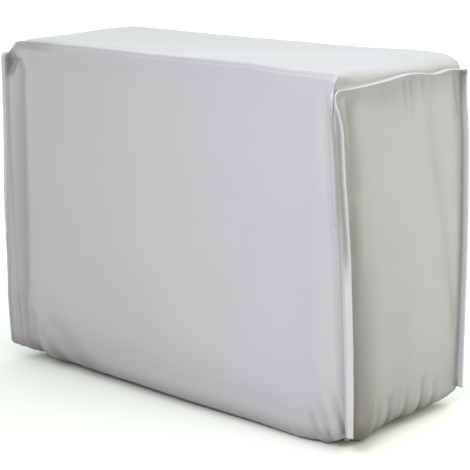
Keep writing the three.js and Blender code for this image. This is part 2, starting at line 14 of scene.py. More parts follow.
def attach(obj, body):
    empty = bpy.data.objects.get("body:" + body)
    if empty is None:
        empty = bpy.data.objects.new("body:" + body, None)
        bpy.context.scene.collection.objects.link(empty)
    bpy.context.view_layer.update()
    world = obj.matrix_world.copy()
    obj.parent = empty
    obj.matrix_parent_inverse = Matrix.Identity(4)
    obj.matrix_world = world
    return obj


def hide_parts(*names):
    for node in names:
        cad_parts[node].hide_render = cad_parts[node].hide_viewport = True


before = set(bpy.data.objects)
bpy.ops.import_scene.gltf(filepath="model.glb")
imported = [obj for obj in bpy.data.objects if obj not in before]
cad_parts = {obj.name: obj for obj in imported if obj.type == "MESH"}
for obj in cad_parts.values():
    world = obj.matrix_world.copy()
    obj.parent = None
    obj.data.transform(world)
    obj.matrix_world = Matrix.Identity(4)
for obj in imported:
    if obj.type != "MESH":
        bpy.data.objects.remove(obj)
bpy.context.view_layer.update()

# %% [markdown]
# ## Measures
# A cloth cover has no straight edges to start from, so its shape is read as a few short
# tables: where each seam runs, how far the hem hangs, and where the folds lie. They are
# in millimetres, as on a cutting table, and turned to metres when a mesh is made.

# %% Sizes of the cover
DEPTH, TOP_Z = 320.0, 560.0     # from front seam to back seam, and up to the top crease
HALF_D = DEPTH / 2
MM = 0.001                      # one millimetre in metres
MIDDLE = Vector((2.541, -0.507, -27.988))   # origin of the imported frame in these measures


def to_frame(p):
    """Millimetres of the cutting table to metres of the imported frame."""
    return (p - MIDDLE) * MM


print("depth and height in metres", DEPTH * MM, TOP_Z * MM)

# %% [markdown]
# ## Eased steps
# Cloth never changes in a sharp step, so every change here is eased. Four small helpers
# limit a number, ease it from 0 to 1, mix two values, and give a soft bump.

# %% Limit, ease, mix and bump
def clamp(v, a=0.0, b=1.0):
    return min(b, max(a, v))


def smooth(v):
    t = clamp(v)
    return t * t * (3 - 2 * t)


def mix(a, b, t):
    return a + (b - a) * t


def bell(d, r):
    return math.exp(-(d / r) ** 2)


# %% [markdown]
# ## Curves from short tables
# A seam on cloth wanders, but never in sharp steps. Each table is joined by a smooth
# curve that doesn't overshoot between its rows, which keeps the edges calm.

# %% A smooth curve through a table
def curve(rows):
    keys = [r[0] for r in rows]
    vals = [r[1] for r in rows]
    last = len(rows) - 1

    def slope(i):
        if i in (0, last):
            return 0.0
        a = (vals[i] - vals[i - 1]) / (keys[i] - keys[i - 1])
        b = (vals[i + 1] - vals[i]) / (keys[i + 1] - keys[i])
        return 0.0 if a * b <= 0 else 2 * a * b / (a + b)

    slopes = [slope(i) for i in range(last + 1)]

    def value(t):
        if t <= keys[0]:
            return vals[0]
        if t >= keys[-1]:
            return vals[-1]
        i = 0
        while t > keys[i + 1]:
            i += 1
        h = keys[i + 1] - keys[i]
        u = (t - keys[i]) / h
        return (vals[i] * (2 * u**3 - 3 * u**2 + 1) + slopes[i] * h * (u**3 - 2 * u**2 + u)
                + vals[i + 1] * (-2 * u**3 + 3 * u**2) + slopes[i + 1] * h * (u**3 - u**2))

    return value


print("halfway up a curve from 0 to 2:", curve([(0, 0), (1, 2)])(0.5))

# %% Where the upright seams run: (height, distance from the middle)
SEAM_FRONT = {
    1: curve([(4, 405), (65, 404), (143, 402), (221, 399), (282, 396), (328, 393),
              (354, 391), (403, 387), (462, 383), (500, 379), (521, 377)]),
    -1: curve([(4, 393), (82, 397), (200, 394), (290, 391), (419, 388), (524, 388)]),
}
SEAM_BACK = {
    1: curve([(4, 382), (122, 384), (275, 386), (423, 384), (522, 378)]),
    -1: curve([(4, 390), (140, 393), (300, 392), (522, 396)]),
}
SET_BACK = {1: curve([(4, 0), (600, 0)]), -1: curve([(4, 2), (200, 3), (350, 7), (518, 10)])}

# %% Where the level seams run over the ends: (depth, height) and (depth, distance)
SEAM_TOP_Z = {
    1: curve([(-150, 534.5), (-118, 536), (-91, 538), (-70, 539.5), (-37, 543),
              (-10, 545), (17, 544), (66, 539), (100, 541.5), (152, 537.5)]),
    -1: curve([(-142, 536), (-60, 539), (20, 536), (90, 540), (152, 537)]),
}
SEAM_TOP_X = {
    1: curve([(-150, 380), (-111, 385), (-70, 388), (-22, 390), (23, 390), (62, 389),
              (112, 386), (152, 382)]),
    -1: curve([(-142, 390), (-60, 396), (20, 399), (90, 401), (152, 400)]),
}
RIDGE = {
    1: curve([(-160, 364), (-60, 350), (60, 338), (160, 326)]),
    -1: curve([(-160, 330), (-60, 358), (30, 370), (160, 382)]),
}
SQUARE = {
    1: curve([(-160, 6), (-148, 4.6), (-110, 3), (0, 2.6), (160, 2.2)]),
    -1: curve([(-160, 1.8), (-120, 2.1), (-60, 3.0), (160, 3.8)]),
}
LEAN = {
    1: curve([(4, 0.08), (60, 0.24), (150, 0.45), (250, 0.55), (330, 0.68), (450, 0.68),
              (490, 0.42), (522, 0.18)]),
    -1: curve([(4, 0.62), (120, 0.62), (210, 0.4), (300, 0.12), (530, 0.06)]),
}

# %% Crown of the top and lowest line of the hem
CROWN_FRONT = curve([(-372, -2), (-340, 1.5), (-244, 3.5), (-102, 3), (7, 1.5), (193, 2.5),
                     (295, -1), (372, -1)])
CROWN_BACK = curve([(-380, 2), (-258, 1), (-105, -0.5), (37, -0.5), (171, -1), (297, 1.5),
                    (350, 0)])
HEM_FRONT = curve([(-398, 0), (-378, -9), (-345, -14), (-257, -18), (-24, -20), (95, -22),
                   (207, -24), (262, -26), (286, -27), (306, -25.5), (340, -24),
                   (375, -16), (404, -3)])
HEM_BACK = curve([(-390, -2), (-350, -14), (-180, -18), (60, -21), (260, -17), (350, -13),
                  (384, -2)])
HEM_END = {
    1: curve([(-160, -3), (-140, -10), (-112, -18), (-88, -24), (-56, -23), (-30, -22),
              (-5, -18), (21, -17), (45, -18), (59, -13), (74, -17), (101, -20),
              (130, -17), (160, -5)]),
    -1: curve([(-160, -1), (-120, -13), (-50, -18), (20, -16), (90, -20), (130, -12),
               (160, -2)]),
}
print("lowest line of the hem at the middle of the front, in mm", HEM_FRONT(0))

# %% [markdown]
# ## Folds
# The cloth is pulled tight, so it shows few folds. Each is a soft line on a panel, from
# one end to the other, with a half width and a height. A raised line is a fold that
# catches the light, and a sunken one is a hollow. Folds could be sculpted or simulated,
# but a table keeps each one where it is on the real cover.

# %% Folds: (along 0, height 0, along 1, height 1, half width, rise)
FRONT_FOLDS = [
    (375, 70, 389, 2, 7, -3.5), (363, 60, 379, 0, 8, 3), (350, 120, 372, 40, 12, 2.5),
    (332, 14, 352, -2, 11, -4.5), (312, 34, 330, 6, 7, 2.5), (296, 26, 318, -16, 9, 2.5),
    (384, 58, 392, 6, 4, -3), (372, 74, 386, 8, 4.5, 3.2), (356, 40, 371, 2, 4, -2.5),
    (346, 22, 362, -12, 5, 2.5), (350, 540, 300, 500, 16, -1.5),
    (-392, 90, -386, -4, 4.5, 2.5), (-384, 86, -378, -6, 4.5, -3),          # left foot
    (-376, 104, -366, -8, 6, 3), (-364, 96, -352, -8, 5, -3.5),
    (-354, 84, -340, -8, 5, 3), (-342, 60, -324, -8, 6, -3.5),
    (-303, 42, -230, -2, 8, 5), (-318, 26, -258, -10, 10, -4.5), (-284, 56, -214, 10, 12, -3),
    (-382, 552, -368, 520, 4.5, 3), (-368, 520, -372, 470, 6, 2.5),         # left top corner
    (-366, 552, -346, 513, 8, -5.0), (-346, 513, -354, 470, 12, -5.0),
    (-354, 470, -362, 300, 15, -6.5), (-362, 300, -368, 120, 16, -6),
    (-330, 548, -300, 505, 16, 3), (-384, 496, -368, 502, 3.5, 2.5),
    (-382, 487, -370, 490, 3.5, -2.5),
]
BACK_FOLDS = [
    (-372, 80, -350, -8, 9, -4), (-350, 60, -320, -12, 9, 3.5), (300, 50, 318, -12, 10, -3.5),
    (345, 110, 360, -6, 9, 3.5), (-350, 520, -250, 420, 24, -3), (330, 510, 240, 400, 26, -3),
]
END_FOLDS = {
    1: [(-62, 520, -52, 330, 44, -7), (-52, 330, -20, 200, 46, -9),      # broad hollow
        (-20, 200, -30, 40, 46, -8),
        (-112, 400, -116, 250, 18, -5), (-116, 250, -118, 30, 20, -8),   # behind the fin
        (114, 520, 126, 250, 26, 3.6), (126, 250, 128, 60, 26, 2.4),     # swell at the back
        (44, 525, 50, 420, 11, 3.2), (50, 420, 88, 280, 11, 4.0),        # drifting fold
        (88, 280, 122, 130, 12, 4.0), (64, 525, 70, 420, 11, -3.0),
        (70, 420, 108, 280, 11, -3.8), (108, 280, 138, 130, 11, -3.6),
        (-134, 430, -132, 330, 12, -5), (-132, 330, -130, 240, 13, -8),  # against the fin
        (-130, 240, -128, 150, 14, -12), (-128, 150, -127, 20, 15, -16),
        (-141, 520, -130, 430, 6, 4), (-120, 505, -114, 380, 14, -7),    # beside the corner
        (-94, 520, -90, 440, 10, 1.6), (-2, 534, 2, 486, 4.5, -1.8),
        (14, 536, 17, 480, 4.5, -2.2), (27, 536, 28, 492, 4, 1.6),
        (40, 534, 45, 490, 4.5, -2.0), (142, 520, 150, 470, 7, -3),
        (-103, 14, -106, -20, 7, -5), (-62, 22, -64, -18, 6, -5),        # hem
        (-26, 26, -28, -18, 6, -5), (15, 26, 14, -14, 6, -4.5),
        (56, 44, 58, -12, 6, -5), (93, 30, 96, -14, 7, -3.5),
        (-84, 40, -84, -16, 5, 2), (36, 40, 37, -12, 5, 2)],
    -1: [(-96, 500, -70, 120, 26, -5), (-20, 520, 4, 90, 34, 6), (70, 520, 96, 120, 26, -4),
         (-90, 26, -92, -12, 7, -4.5), (-40, 30, -42, -14, 7, -5), (12, 26, 14, -14, 7, -4.5),
         (66, 30, 64, -16, 7, -4.5), (-12, 534, -8, 486, 5, -2), (30, 538, 34, 490, 5, -2)],
}


def nearest_on_line(a, z, a0, z0, a1, z1):
    """Where along a line the nearest point lies, from 0 to 1, and how far off it is."""
    da, dz = a1 - a0, z1 - z0
    t = clamp(((a - a0) * da + (z - z0) * dz) / (da * da + dz * dz))
    return t, math.hypot(a - a0 - t * da, z - z0 - t * dz)


def fold_height(folds, a, z):
    """Sum of the folds. A row that starts where the last one ended goes on with it."""
    total, last, joint = 0.0, 0.0, None
    for a0, z0, a1, z1, r, rise in folds:
        d = nearest_on_line(a, z, a0, z0, a1, z1)[1]
        height = rise * bell(d, r) if d < 3 * r else 0.0
        if (a0, z0) == joint:
            total -= last
            height = max(height, last, key=abs)
        total += height
        last, joint = height, (a1, z1)
    return total


print("folds on the front, the back and both ends", len(FRONT_FOLDS), len(BACK_FOLDS),
      sum(len(rows) for rows in END_FOLDS.values()))

# %% [markdown]
# ## Painted shade in the creases
# Silky cloth looks darker deep in a crease, where it sees only more cloth and gets less
# light. Soft light alone leaves such lines too pale, so a painted shade from 0 to 1 is kept
# on each point of the cloth, and the finish darkens with it. The same kind of table as for
# the folds says where. The hem, the end panels, a band on the top and the tape get it too.

# %% Painted shade in creases: (along 0, height 0, shade 0, along 1, height 1, shade 1, half width)
FRONT_CREASE_PAINTED_SHADE = [
    (-387, 550, 0.8, -387, 500, 0.75, 6),                                    # left corner
    (-386, 498, 0.4, -384, 60, 0.2, 2.6),
    (-366, 552, 0.4, -344, 506, 0.42, 7.5), (-344, 506, 0.42, -354, 440, 0.36, 11),
    (-354, 440, 0.35, -362, 300, 0.34, 15), (-362, 300, 0.33, -366, 120, 0.3, 16),
    (-366, 120, 0.3, -358, 0, 0.16, 18),
    (-382, 74, 0.0, -368, -8, 0.34, 3.5), (-360, 84, 0.0, -342, -8, 0.34, 4.5),   # left foot
    (-332, 60, 0.0, -272, -12, 0.5, 15), (-300, 74, 0.05, -200, -4, 0.34, 25),
    (376, 510, 0.3, 383, 462, 0.65, 3.2),                                    # beside the fin
    (383, 462, 0.65, 390, 360, 0.65, 3.4), (390, 360, 0.65, 399, 220, 0.1, 3.4),
    (387, 330, 0.1, 397, 10, 0.3, 4.5),
    (380, 76, 0.0, 392, -2, 0.42, 4), (348, 54, 0.0, 366, -14, 0.4, 5),           # right foot
    (326, 44, 0.0, 341, -2, 0.32, 8),
]
END_CREASE_PAINTED_SHADE = {
    1: [(-125, 512, 0.3, -124, 330, 0.46, 17), (-124, 330, 0.46, -126, 150, 0.5, 17),
        (-126, 150, 0.5, -127, -10, 0.66, 18), (-104, 420, 0.0, -94, 0, 0.34, 32),
        (50, 520, 0.04, 58, 420, 0.11, 9), (58, 420, 0.11, 94, 280, 0.12, 10),
        (94, 280, 0.12, 132, 100, 0.05, 12), (0, 532, 0.26, 3, 484, 0.04, 2.8),
        (15, 532, 0.22, 18, 476, 0.02, 2.8), (41, 530, 0.24, 46, 480, 0.02, 3.2),
        (-102, 24, 0.0, -106, -22, 0.4, 5), (-62, 32, 0.0, -64, -22, 0.4, 4.5),
        (-26, 34, 0.0, -28, -20, 0.4, 4.5), (15, 32, 0.0, 14, -16, 0.36, 4.5),
        (56, 50, 0.0, 58, -14, 0.38, 5), (93, 36, 0.0, 96, -16, 0.36, 5)],
    -1: [(-91, 34, 0.0, -92, -14, 0.34, 5), (-41, 36, 0.0, -42, -16, 0.34, 5),
         (13, 34, 0.0, 14, -16, 0.34, 5), (66, 36, 0.0, 64, -18, 0.34, 5)],
}


# %% Painted shade of a point of the cloth
HEM_PAINTED_SHADES = [(0.25, 9), (0.42, 36), (0.18, 150)]      # painted shade at the hem, and the height it fades at
TOP_PAINTED_SHADE = 0.34                                       # painted shade on the front left of the top
END_PAINTED_SHADE_ALL, END_PAINTED_SHADE_LOW, END_PAINTED_SHADE_FRONT = 0.03, 0.14, 0.1        # painted shade on an end: all over, low down, near the front


def crease_painted_shade(creases, a, z):
    deepest = 0.0
    for a0, z0, shade0, a1, z1, shade1, r in creases:
        t, d = nearest_on_line(a, z, a0, z0, a1, z1)
        deepest = max(deepest, mix(shade0, shade1, t) * bell(d, r))
    return deepest


def hem_painted_shade(h):
    """Painted shade, darkest at the lowest cloth: h is the height above the hem."""
    return sum(tone * (1 - smooth(h / reach)) for tone, reach in HEM_PAINTED_SHADES)


# Painted shade on the strip: a band on the top's front left, the creases and the hem.
def strip_painted_shade(p):
    if p.z > TOP_Z - 12:
        return TOP_PAINTED_SHADE * smooth((-215 - p.x) / 90) * smooth((-118 - p.y) / 16)
    if p.y > 0:
        return hem_painted_shade(p.z - HEM_BACK(p.x))
    return clamp(crease_painted_shade(FRONT_CREASE_PAINTED_SHADE, p.x, p.z) + hem_painted_shade(p.z - HEM_FRONT(p.x)))


# Painted shade on an end panel: a little all over, more low down and near the front, in
# creases and at the hem.
def end_painted_shade(side, p):
    tone = END_PAINTED_SHADE_ALL + END_PAINTED_SHADE_LOW * (1 - smooth((p.z - 40) / 320))
    tone += END_PAINTED_SHADE_FRONT * (1 - smooth((p.y + 60) / 160))
    return clamp(tone + crease_painted_shade(END_CREASE_PAINTED_SHADE[side], p.y, p.z)
                 + hem_painted_shade(p.z - HEM_END[side](p.y)))


print("tone at the front hem and 100 mm above it", hem_painted_shade(0), round(hem_painted_shade(100), 3))

# %% [markdown]
# ## Puckers and gathers
# A sewn edge never lies quite flat: the thread draws it into small puckers that fade
# away from the seam. The elastic does the same to the hem, only stronger. A bump in the
# material could show them, but real relief also shows in the outline. Both use a noise
# that gives the same result every time, so the cover is the same in every run.

# %% Puckers beside a seam, and gathers above the hem
FRONT_SEED, BACK_SEED, END_SEED = 11.0, 23.0, 31.0    # a wall and its hem share a seed


def grain(a, b=0.0, c=0.0):
    return noise.noise(Vector((a, b, c)))


def pucker(along, away, seed, reach=22.0, size=0.9):
    fade = math.exp(-away / reach) * (1 - math.exp(-away / 2.5))
    return size * fade * (grain(along / 8.5, seed, away / 60)
                          + 0.6 * grain(along / 17, seed + 9, away / 80))


def gather(a, h, seed, size, pitch=21.0):
    """Sunken pleats along a hem. h is the height above its lowest line."""
    phase = a / pitch + 0.7 * grain(a / 60, seed) + 0.004 * h * grain(a / 50, seed + 3)
    k = math.floor(phase)
    part = phase - k
    reach = 17 + 34 * abs(grain(k * 1.7 + 0.3, seed + 5)) * 2
    depth = size * (0.45 + 1.1 * abs(grain(k * 2.3 + 0.7, seed + 7)))
    narrow = math.sin(math.pi * part) ** 4
    swell = 0.45 * math.sin(2 * math.pi * part) ** 2
    return depth * (swell - narrow) * math.exp(-(max(h, 0.0) / reach) ** 1.4)


# %% [markdown]
# ## Relief of each panel
# Pulled over its box, the cloth still stands out here and sinks there: a belly in the
# middle, slow waves, a hollow at the left corner, a valley beside the right seam. Each
# is a small term in millimetres, and their sum moves the flat panel outward. A cloth
# simulation would drape it too, but not with its folds in these places.

# %% Relief of the front
def right_margin(d, z):
    """The cloth beside the right fin, d away from it: a valley below, a ridge above."""
    high = smooth((z - 290) / 60) * (1 - smooth((z - 522) / 22))
    low = 1 - smooth((z - 300) / 60)
    return (-9.5 * low * bell(d - 8, 7.5)
            + high * (4.0 * bell(d - 5, 3.2) - 4.2 * bell(d - 13, 4.2)))


def relief_front(x, z):
    """Hollow, swell, lean under the crease, waves, puckers, tuck and gathers at the hem."""
    left = -13 * smooth((-165 - x - 0.3 * (z - 300)) / 200) * smooth((z + 20) / 90)
    right = 6 * bell(x - 352, 26) * smooth((z - 40) / 80)
    right += right_margin(SEAM_FRONT[1](z) - x, z)
    shoulder = -4.6 * smooth((z - 508) / 52) ** 2
    wave = 1.3 * math.sin(x / 71 + z / 150) + 1.1 * math.sin(x / 43 - z / 88 + 1.7)
    belly = 2.5 * bell(x - 60, 230) * math.sin(math.pi * clamp(z, 0, 540) / 560)
    edge = min(404 - x, x + 398)          # distance to the nearer seam
    fine = pucker(z, edge, 1.3 if x > 0 else 4.1) + 0.35 * grain(x / 30, z / 55, 2.0)
    near = smooth((-250 - x) / 110) + smooth((x - 270) / 110)
    low = HEM_FRONT(x)
    under = -9 * (1 - smooth((z - low) / 100)) ** 1.5
    pleats = gather(x, z - low, FRONT_SEED, mix(0.9, 3.4, near))
    return (left + right + shoulder + wave + belly + fine + under + pleats
            + fold_height(FRONT_FOLDS, x, z))


# %% Relief of the back, the top and the ends
def relief_back(x, z):
    wave = 1.8 * math.sin(x / 83 - z / 140 + 0.6) + 1.2 * math.sin(x / 47 + z / 97)
    belly = 4 * bell(x + 40, 240) * math.sin(math.pi * clamp(z, 0, 540) / 560)
    edge = min(384 - x, x + 392)          # distance to the nearer seam
    fine = pucker(z, edge, 7.3) + 0.4 * grain(x / 32, z / 50, 8.0)
    near = smooth((abs(x) - 240) / 120)
    pleats = gather(x, z - HEM_BACK(x), BACK_SEED, mix(1.8, 3.2, near))
    return wave + belly + fine + pleats + fold_height(BACK_FOLDS, x, z)


def relief_top(x, y):
    dip = -3 * bell(x - 40, 260) * bell(y, 110)
    return dip + 0.9 * math.sin(x / 77 + y / 60) + 0.6 * math.sin(x / 39 - y / 45 + 2)


def relief_end(side, y, z):
    wave = 0.9 * math.sin(y / 24 + z / 110) if side > 0 else 1.1 * math.sin(y / 27 - z / 120)
    pleats = gather(y, z - HEM_END[side](y), END_SEED + side, 3.2, 18.0)
    fine = 0.4 * grain(y / 22, z / 60, 5.0)
    return wave + pleats + fold_height(END_FOLDS[side], y, z) + fine


print("the front's middle stands out by", round(relief_front(0, 300), 1), "mm")


# %% [markdown]
# ## The seam line
# One line on each side carries four layers: the strip, the end panel and both halves
# of the tape. It runs up the front, turns a corner, goes level over the end, and down
# the back. Each layer could be modelled by eye, but then they would gape or cross. Here
# every layer asks this line where it is, so they always lie on each other.

# %% A point of the seam line: stage and how far along it
FRONT, TURN_UP, OVER, TURN_DOWN, BACK = range(5)
CORNER_R = 10.0                      # radius where the seam turns level
FOOT = 5.0                           # height of the fin's square end
OVER_LEAN, BACK_LEAN = -0.07, 0.12   # lean over the end and down the back, in radians


def seam_at(side, stage, t):
    """Place of the seam, how far it has turned, and how far the fin leans."""
    edge = HALF_D - CORNER_R
    first = CORNER_R - HALF_D + SET_BACK[side](TOP_Z)
    front_top = SEAM_TOP_Z[side](first) - CORNER_R
    back_top = SEAM_TOP_Z[side](edge) - CORNER_R
    if stage == FRONT:
        z = mix(FOOT, front_top, t)
        x, y = SEAM_FRONT[side](z), -HALF_D + SET_BACK[side](z)
        turn, lean = 0.0, LEAN[side](z)
    elif stage == TURN_UP:
        a = t * math.pi / 2
        z = front_top + CORNER_R * math.sin(a)
        y = mix(-HALF_D + SET_BACK[side](front_top), first, 1 - math.cos(a))
        x = mix(SEAM_FRONT[side](front_top), SEAM_TOP_X[side](first), smooth(t))
        turn, lean = a, mix(LEAN[side](front_top), OVER_LEAN, t)
    elif stage == OVER:
        y = mix(first, edge, t)
        x, z, turn, lean = SEAM_TOP_X[side](y), SEAM_TOP_Z[side](y), math.pi / 2, OVER_LEAN
    elif stage == TURN_DOWN:
        a = t * math.pi / 2
        y, z = edge + CORNER_R * math.sin(a), back_top + CORNER_R * math.cos(a)
        x = mix(SEAM_TOP_X[side](edge), SEAM_BACK[side](back_top), smooth(t))
        turn, lean = math.pi / 2 + a, mix(OVER_LEAN, BACK_LEAN, t)
    else:
        z = mix(FOOT, back_top, 1 - t)
        x, y, turn, lean = SEAM_BACK[side](z), HALF_D, math.pi, BACK_LEAN
    return side * x, y, z, turn, lean


print("right seam at mid height, in mm", [round(v) for v in seam_at(1, FRONT, 0.5)[:3]])

# %% [markdown]
# ## The standing fin
# The sewn edges stand out as a fin, which leans, curls and ripples a little, and is
# drawn in where it turns the front corner. A flat ribbon would look stiff, so the fin is
# a short chain of bends that every layer follows at its own distance.

# %% A point of the fin: w outward along it, n across its layers
FIN = 13.5                           # width of the standing seam
BEND_FROM, BEND_TO = 0.5, 2.6        # the fin leans between these distances from the seam
PINCH_FRONT = curve([(455, 1.0), (478, 0.92), (500, 0.66), (514, 0.36), (524, 0.2)])
CURL = curve([(300, 0.0), (350, 0.5), (440, 0.6), (480, 0.3), (510, 0.0)])
PINCH_TOP = curve([(-152, 0.2), (-138, 0.45), (-112, 0.8), (-80, 1.0)])


CURL_BACK = -1.6                     # the tape's edge curls the other way, so much more


def narrowed(side, stage, t, w):
    """The tape is drawn in where it turns the front corner of the right end."""
    if side < 0 or stage > OVER or w <= BEND_TO:
        return w
    x, y, z = seam_at(side, stage, t)[:3]
    f = {FRONT: PINCH_FRONT(z), TURN_UP: 0.2, OVER: PINCH_TOP(y)}[stage]
    inner = min(w, FIN - 1) - BEND_TO
    return BEND_TO + inner * f + max(0.0, w - FIN + 1)


def arc(start, turn, length):
    """Where a strip gets to that starts at an angle and turns evenly: along and down."""
    if abs(turn) < 0.001:
        return length * math.cos(start), length * math.sin(start)
    k = turn / length
    return ((math.sin(start + turn) - math.sin(start)) / k,
            (math.cos(start) - math.cos(start + turn)) / k)


def fin_point(side, stage, t, w, n):
    """Follow the fin's bends outward from the seam, then step across its layers."""
    x, y, z, turn, lean = seam_at(side, stage, t)
    w = narrowed(side, stage, t, w)
    curl = CURL(z) if side > 0 and stage == FRONT else 0.0
    bends = [(BEND_FROM, 0.0), (BEND_TO, lean + curl), (6.5, 0.0), (9.5, CURL_BACK * curl),
             (99.0, 0.0)]
    along = done = min(w, 0.0)
    drop = angle = 0.0
    for end, bend in bends:
        if w <= done:
            break
        part = (min(w, end) - done) / (end - done)
        forth, down = arc(angle, bend * part, (end - done) * part)
        along, drop, angle = along + forth, drop + down, angle + bend * part
        done = min(w, end)
    if w > BEND_FROM:
        travel = z if stage in (FRONT, BACK) else y + 900
        ripple = (0.7 * grain(travel / 26, side * 3.0, 1.0)
                  + 0.3 * grain(travel / 9, side * 5.0))
        ripple *= 0.4 if stage == OVER else 1.0
        drop += ripple * smooth((w - 2) / 10)
    out = along + n * math.sin(angle)
    up = n * math.cos(angle) - drop
    return Vector((x + side * out, y - up * math.cos(turn), z + up * math.sin(turn)))


print("edge of the fin there, in mm", [round(v) for v in fin_point(1, FRONT, 0.5, FIN, 0.0)])

# %% [markdown]
# ## A grid of cloth
# Each panel is a grid of points: rows follow the cloth's length and columns its width.
# A grid keeps the thread direction, so the weave can be laid on it with a UV map in
# metres. The sheet then gets its thickness from a Solidify modifier.

# %% Turn a grid of points into a cloth object
def cloth_from_grid(name, rows, thickness, tone):
    """rows: equal lists of points in millimetres, or None where there is none.
    tone gives the painted shade of a point from its row, its column and its place."""
    mesh = bpy.data.meshes.new(name)
    index, verts, painted_shades = {}, [], []
    for r, row in enumerate(rows):
        for c, p in enumerate(row):
            if p is not None:
                index[r, c] = len(verts)
                verts.append(to_frame(p))
                painted_shades.append(tone(r, c, p))
    faces = []
    for r in range(len(rows) - 1):
        for c in range(len(rows[0]) - 1):
            corners = [(r, c), (r + 1, c), (r + 1, c + 1), (r, c + 1)]
            if all(k in index for k in corners):
                faces.append([index[k] for k in corners])
    mesh.from_pydata(verts, [], faces)
    lay_uv(mesh, index, rows)
    # The painted shade is kept on each point as an attribute that the finish reads.
    mesh.attributes.new("crease", "FLOAT", "POINT").data.foreach_set("value", painted_shades)
    piece = bpy.data.objects.new(name, mesh)
    bpy.context.scene.collection.objects.link(piece)
    for polygon in mesh.polygons:
        polygon.use_smooth = True
    add_thickness(piece, thickness)
    print(name, len(faces), "faces before thickness")
    return piece


def lay_uv(mesh, index, rows):
    """UV in metres: distance along the middle column, and across the middle row."""
    up, across = [0.0], [0.0]
    mid_c, mid_r = len(rows[0]) // 2, len(rows) // 2
    for r in range(1, len(rows)):
        up.append(up[-1] + (rows[r][mid_c] - rows[r - 1][mid_c]).length * MM)
    for c in range(1, len(rows[0])):
        a, b = rows[mid_r][c - 1], rows[mid_r][c]
        across.append(across[-1] + (b - a).length * MM)
    where = {i: (across[c], up[r]) for (r, c), i in index.items()}
    layer = mesh.uv_layers.new(name="cloth")
    for loop in mesh.loops:
        layer.data[loop.index].uv = where[loop.vertex_index]


def add_thickness(piece, thickness):
    solid = piece.modifiers.new("thickness", "SOLIDIFY")
    solid.thickness = thickness * MM
    solid.offset = 0.0
    bpy.ops.object.select_all(action="DESELECT")
    bpy.context.view_layer.objects.active = piece
    piece.select_set(True)
    bpy.ops.object.modifier_apply(modifier=solid.name)
    piece.select_set(False)


# %% [markdown]
# ## The strip: front, top and back in one
# Between front and top there is no seam, only a fold. Over each end the strip drops a
# little before it reaches the seam, because the end panels are cut lower than the top.
# A bevelled box would be quicker, but its even edges look like a carton. So the strip is
# laid out row by row, from the front hem over the top to the back hem.

# %% Middle of the strip
CREASE_R = 11.0                # soft fold between front and top
WALL_TOP = TOP_Z - 30          # where the walls end and the crease begins
SEAM_RIGHT, SEAM_LEFT = 404, 400     # how far out the front seams lie at most


def hem_start(low, to_seam, tall):
    """Height where a wall ends and its hem turns: lower near a seam, down to its foot."""
    return mix(FOOT, low + tall, smooth(to_seam / 60))


def wall_point(front, t, x):
    """A point of the front or the back, from the hem up to just under the crease."""
    to_seam = min(SEAM_RIGHT - x, x + SEAM_LEFT) - 4
    low = HEM_FRONT(x) if front else HEM_BACK(x)
    tall = mix(62, 46, smooth((x + SEAM_LEFT) / 260)) if front else 48
    v = t if front else 1 - t
    z = mix(hem_start(low, to_seam, tall), WALL_TOP, v)
    y = -HALF_D - relief_front(x, z) if front else HALF_D + relief_back(x, z)
    return Vector((x, y, z))


def crease_point(front, t, x):
    """A point of the rounded crease, with a fine pinch along it."""
    k = 4 * (t if front else 1 - t)
    side = -1 if front else 1
    relief = (relief_front if front else relief_back)(x, TOP_Z - 20)
    angle = max(0.0, k - 1) / 3 * math.pi / 2
    z = mix(WALL_TOP, TOP_Z - CREASE_R, min(k, 1)) + CREASE_R * math.sin(angle)
    pinch = 1.1 * bell(angle - 1.1, 0.3) - 0.8 * bell(angle - 0.6, 0.2) if k > 1 else 0.0
    y = side * (HALF_D - CREASE_R + (CREASE_R + pinch) * math.cos(angle)
                + relief * (1 - k / 4))
    z += pinch * math.sin(angle)
    return Vector((x, y, z + crown_height(x, y) * smooth(k / 2)))


def crown_height(x, y):
    """How far the top's edges rise or fall, mixed from front to back."""
    return mix(CROWN_FRONT(x), CROWN_BACK(x), smooth((y + HALF_D) / DEPTH))


def body_point(stage, t, x):
    """A point of the strip between its two drops, on a wall, a crease or the top."""
    if stage in (FRONT, BACK):
        return wall_point(stage == FRONT, t, x)
    if stage in (TURN_UP, TURN_DOWN):
        return crease_point(stage == TURN_UP, t, x)
    inner = HALF_D - CREASE_R
    y = mix(-inner, inner, t)
    near = smooth((inner - abs(y)) / 40)
    deep = mix(1.0, 3.2, smooth((-220 - x) / 120))
    groove = -deep * bell(y + inner - 9, 8) + 0.5 * grain(x / 24, y / 40, 3.0) * near
    return Vector((x, y, TOP_Z + crown_height(x, y) + groove + relief_top(x, y) * near))


def flat_limit(side, stage, t):
    """How far out the strip stays flat before it drops to the seam."""
    x, y = seam_at(side, stage, t)[:2]
    wall = abs(x) - 26
    ridge = min(wall, RIDGE[side](y))
    if stage in (FRONT, BACK):
        v = t if stage == FRONT else 1 - t
        return side * mix(wall, ridge, smooth((v - 0.55) / 0.45) * 0.7)
    part = {TURN_UP: mix(0.7, 1, t), OVER: 1.0, TURN_DOWN: mix(1, 0.7, t)}[stage]
    return side * mix(wall, ridge, part)


# %% Columns across the strip, right to left
SEAM_IN = -0.4                               # the fin starts just inside the seam
FIN_STEPS = [FIN, 10.0, 6.5, BEND_TO, 1.6, 0.8, SEAM_IN]
DROP_STEPS = [5 * k for k in range(1, 18)]   # degrees round the drop to the seam
BODY_COUNT = 170


def body_steps(count):
    """Even in the middle, closer near both ends, where the folds are small."""
    steps = []
    for k in range(count + 1):
        u = 2 * k / count - 1
        eased = mix(abs(u), 1 - (1 - abs(u)) ** 1.9, 0.62)
        steps.append(0.5 + 0.5 * math.copysign(eased, u))
    return steps


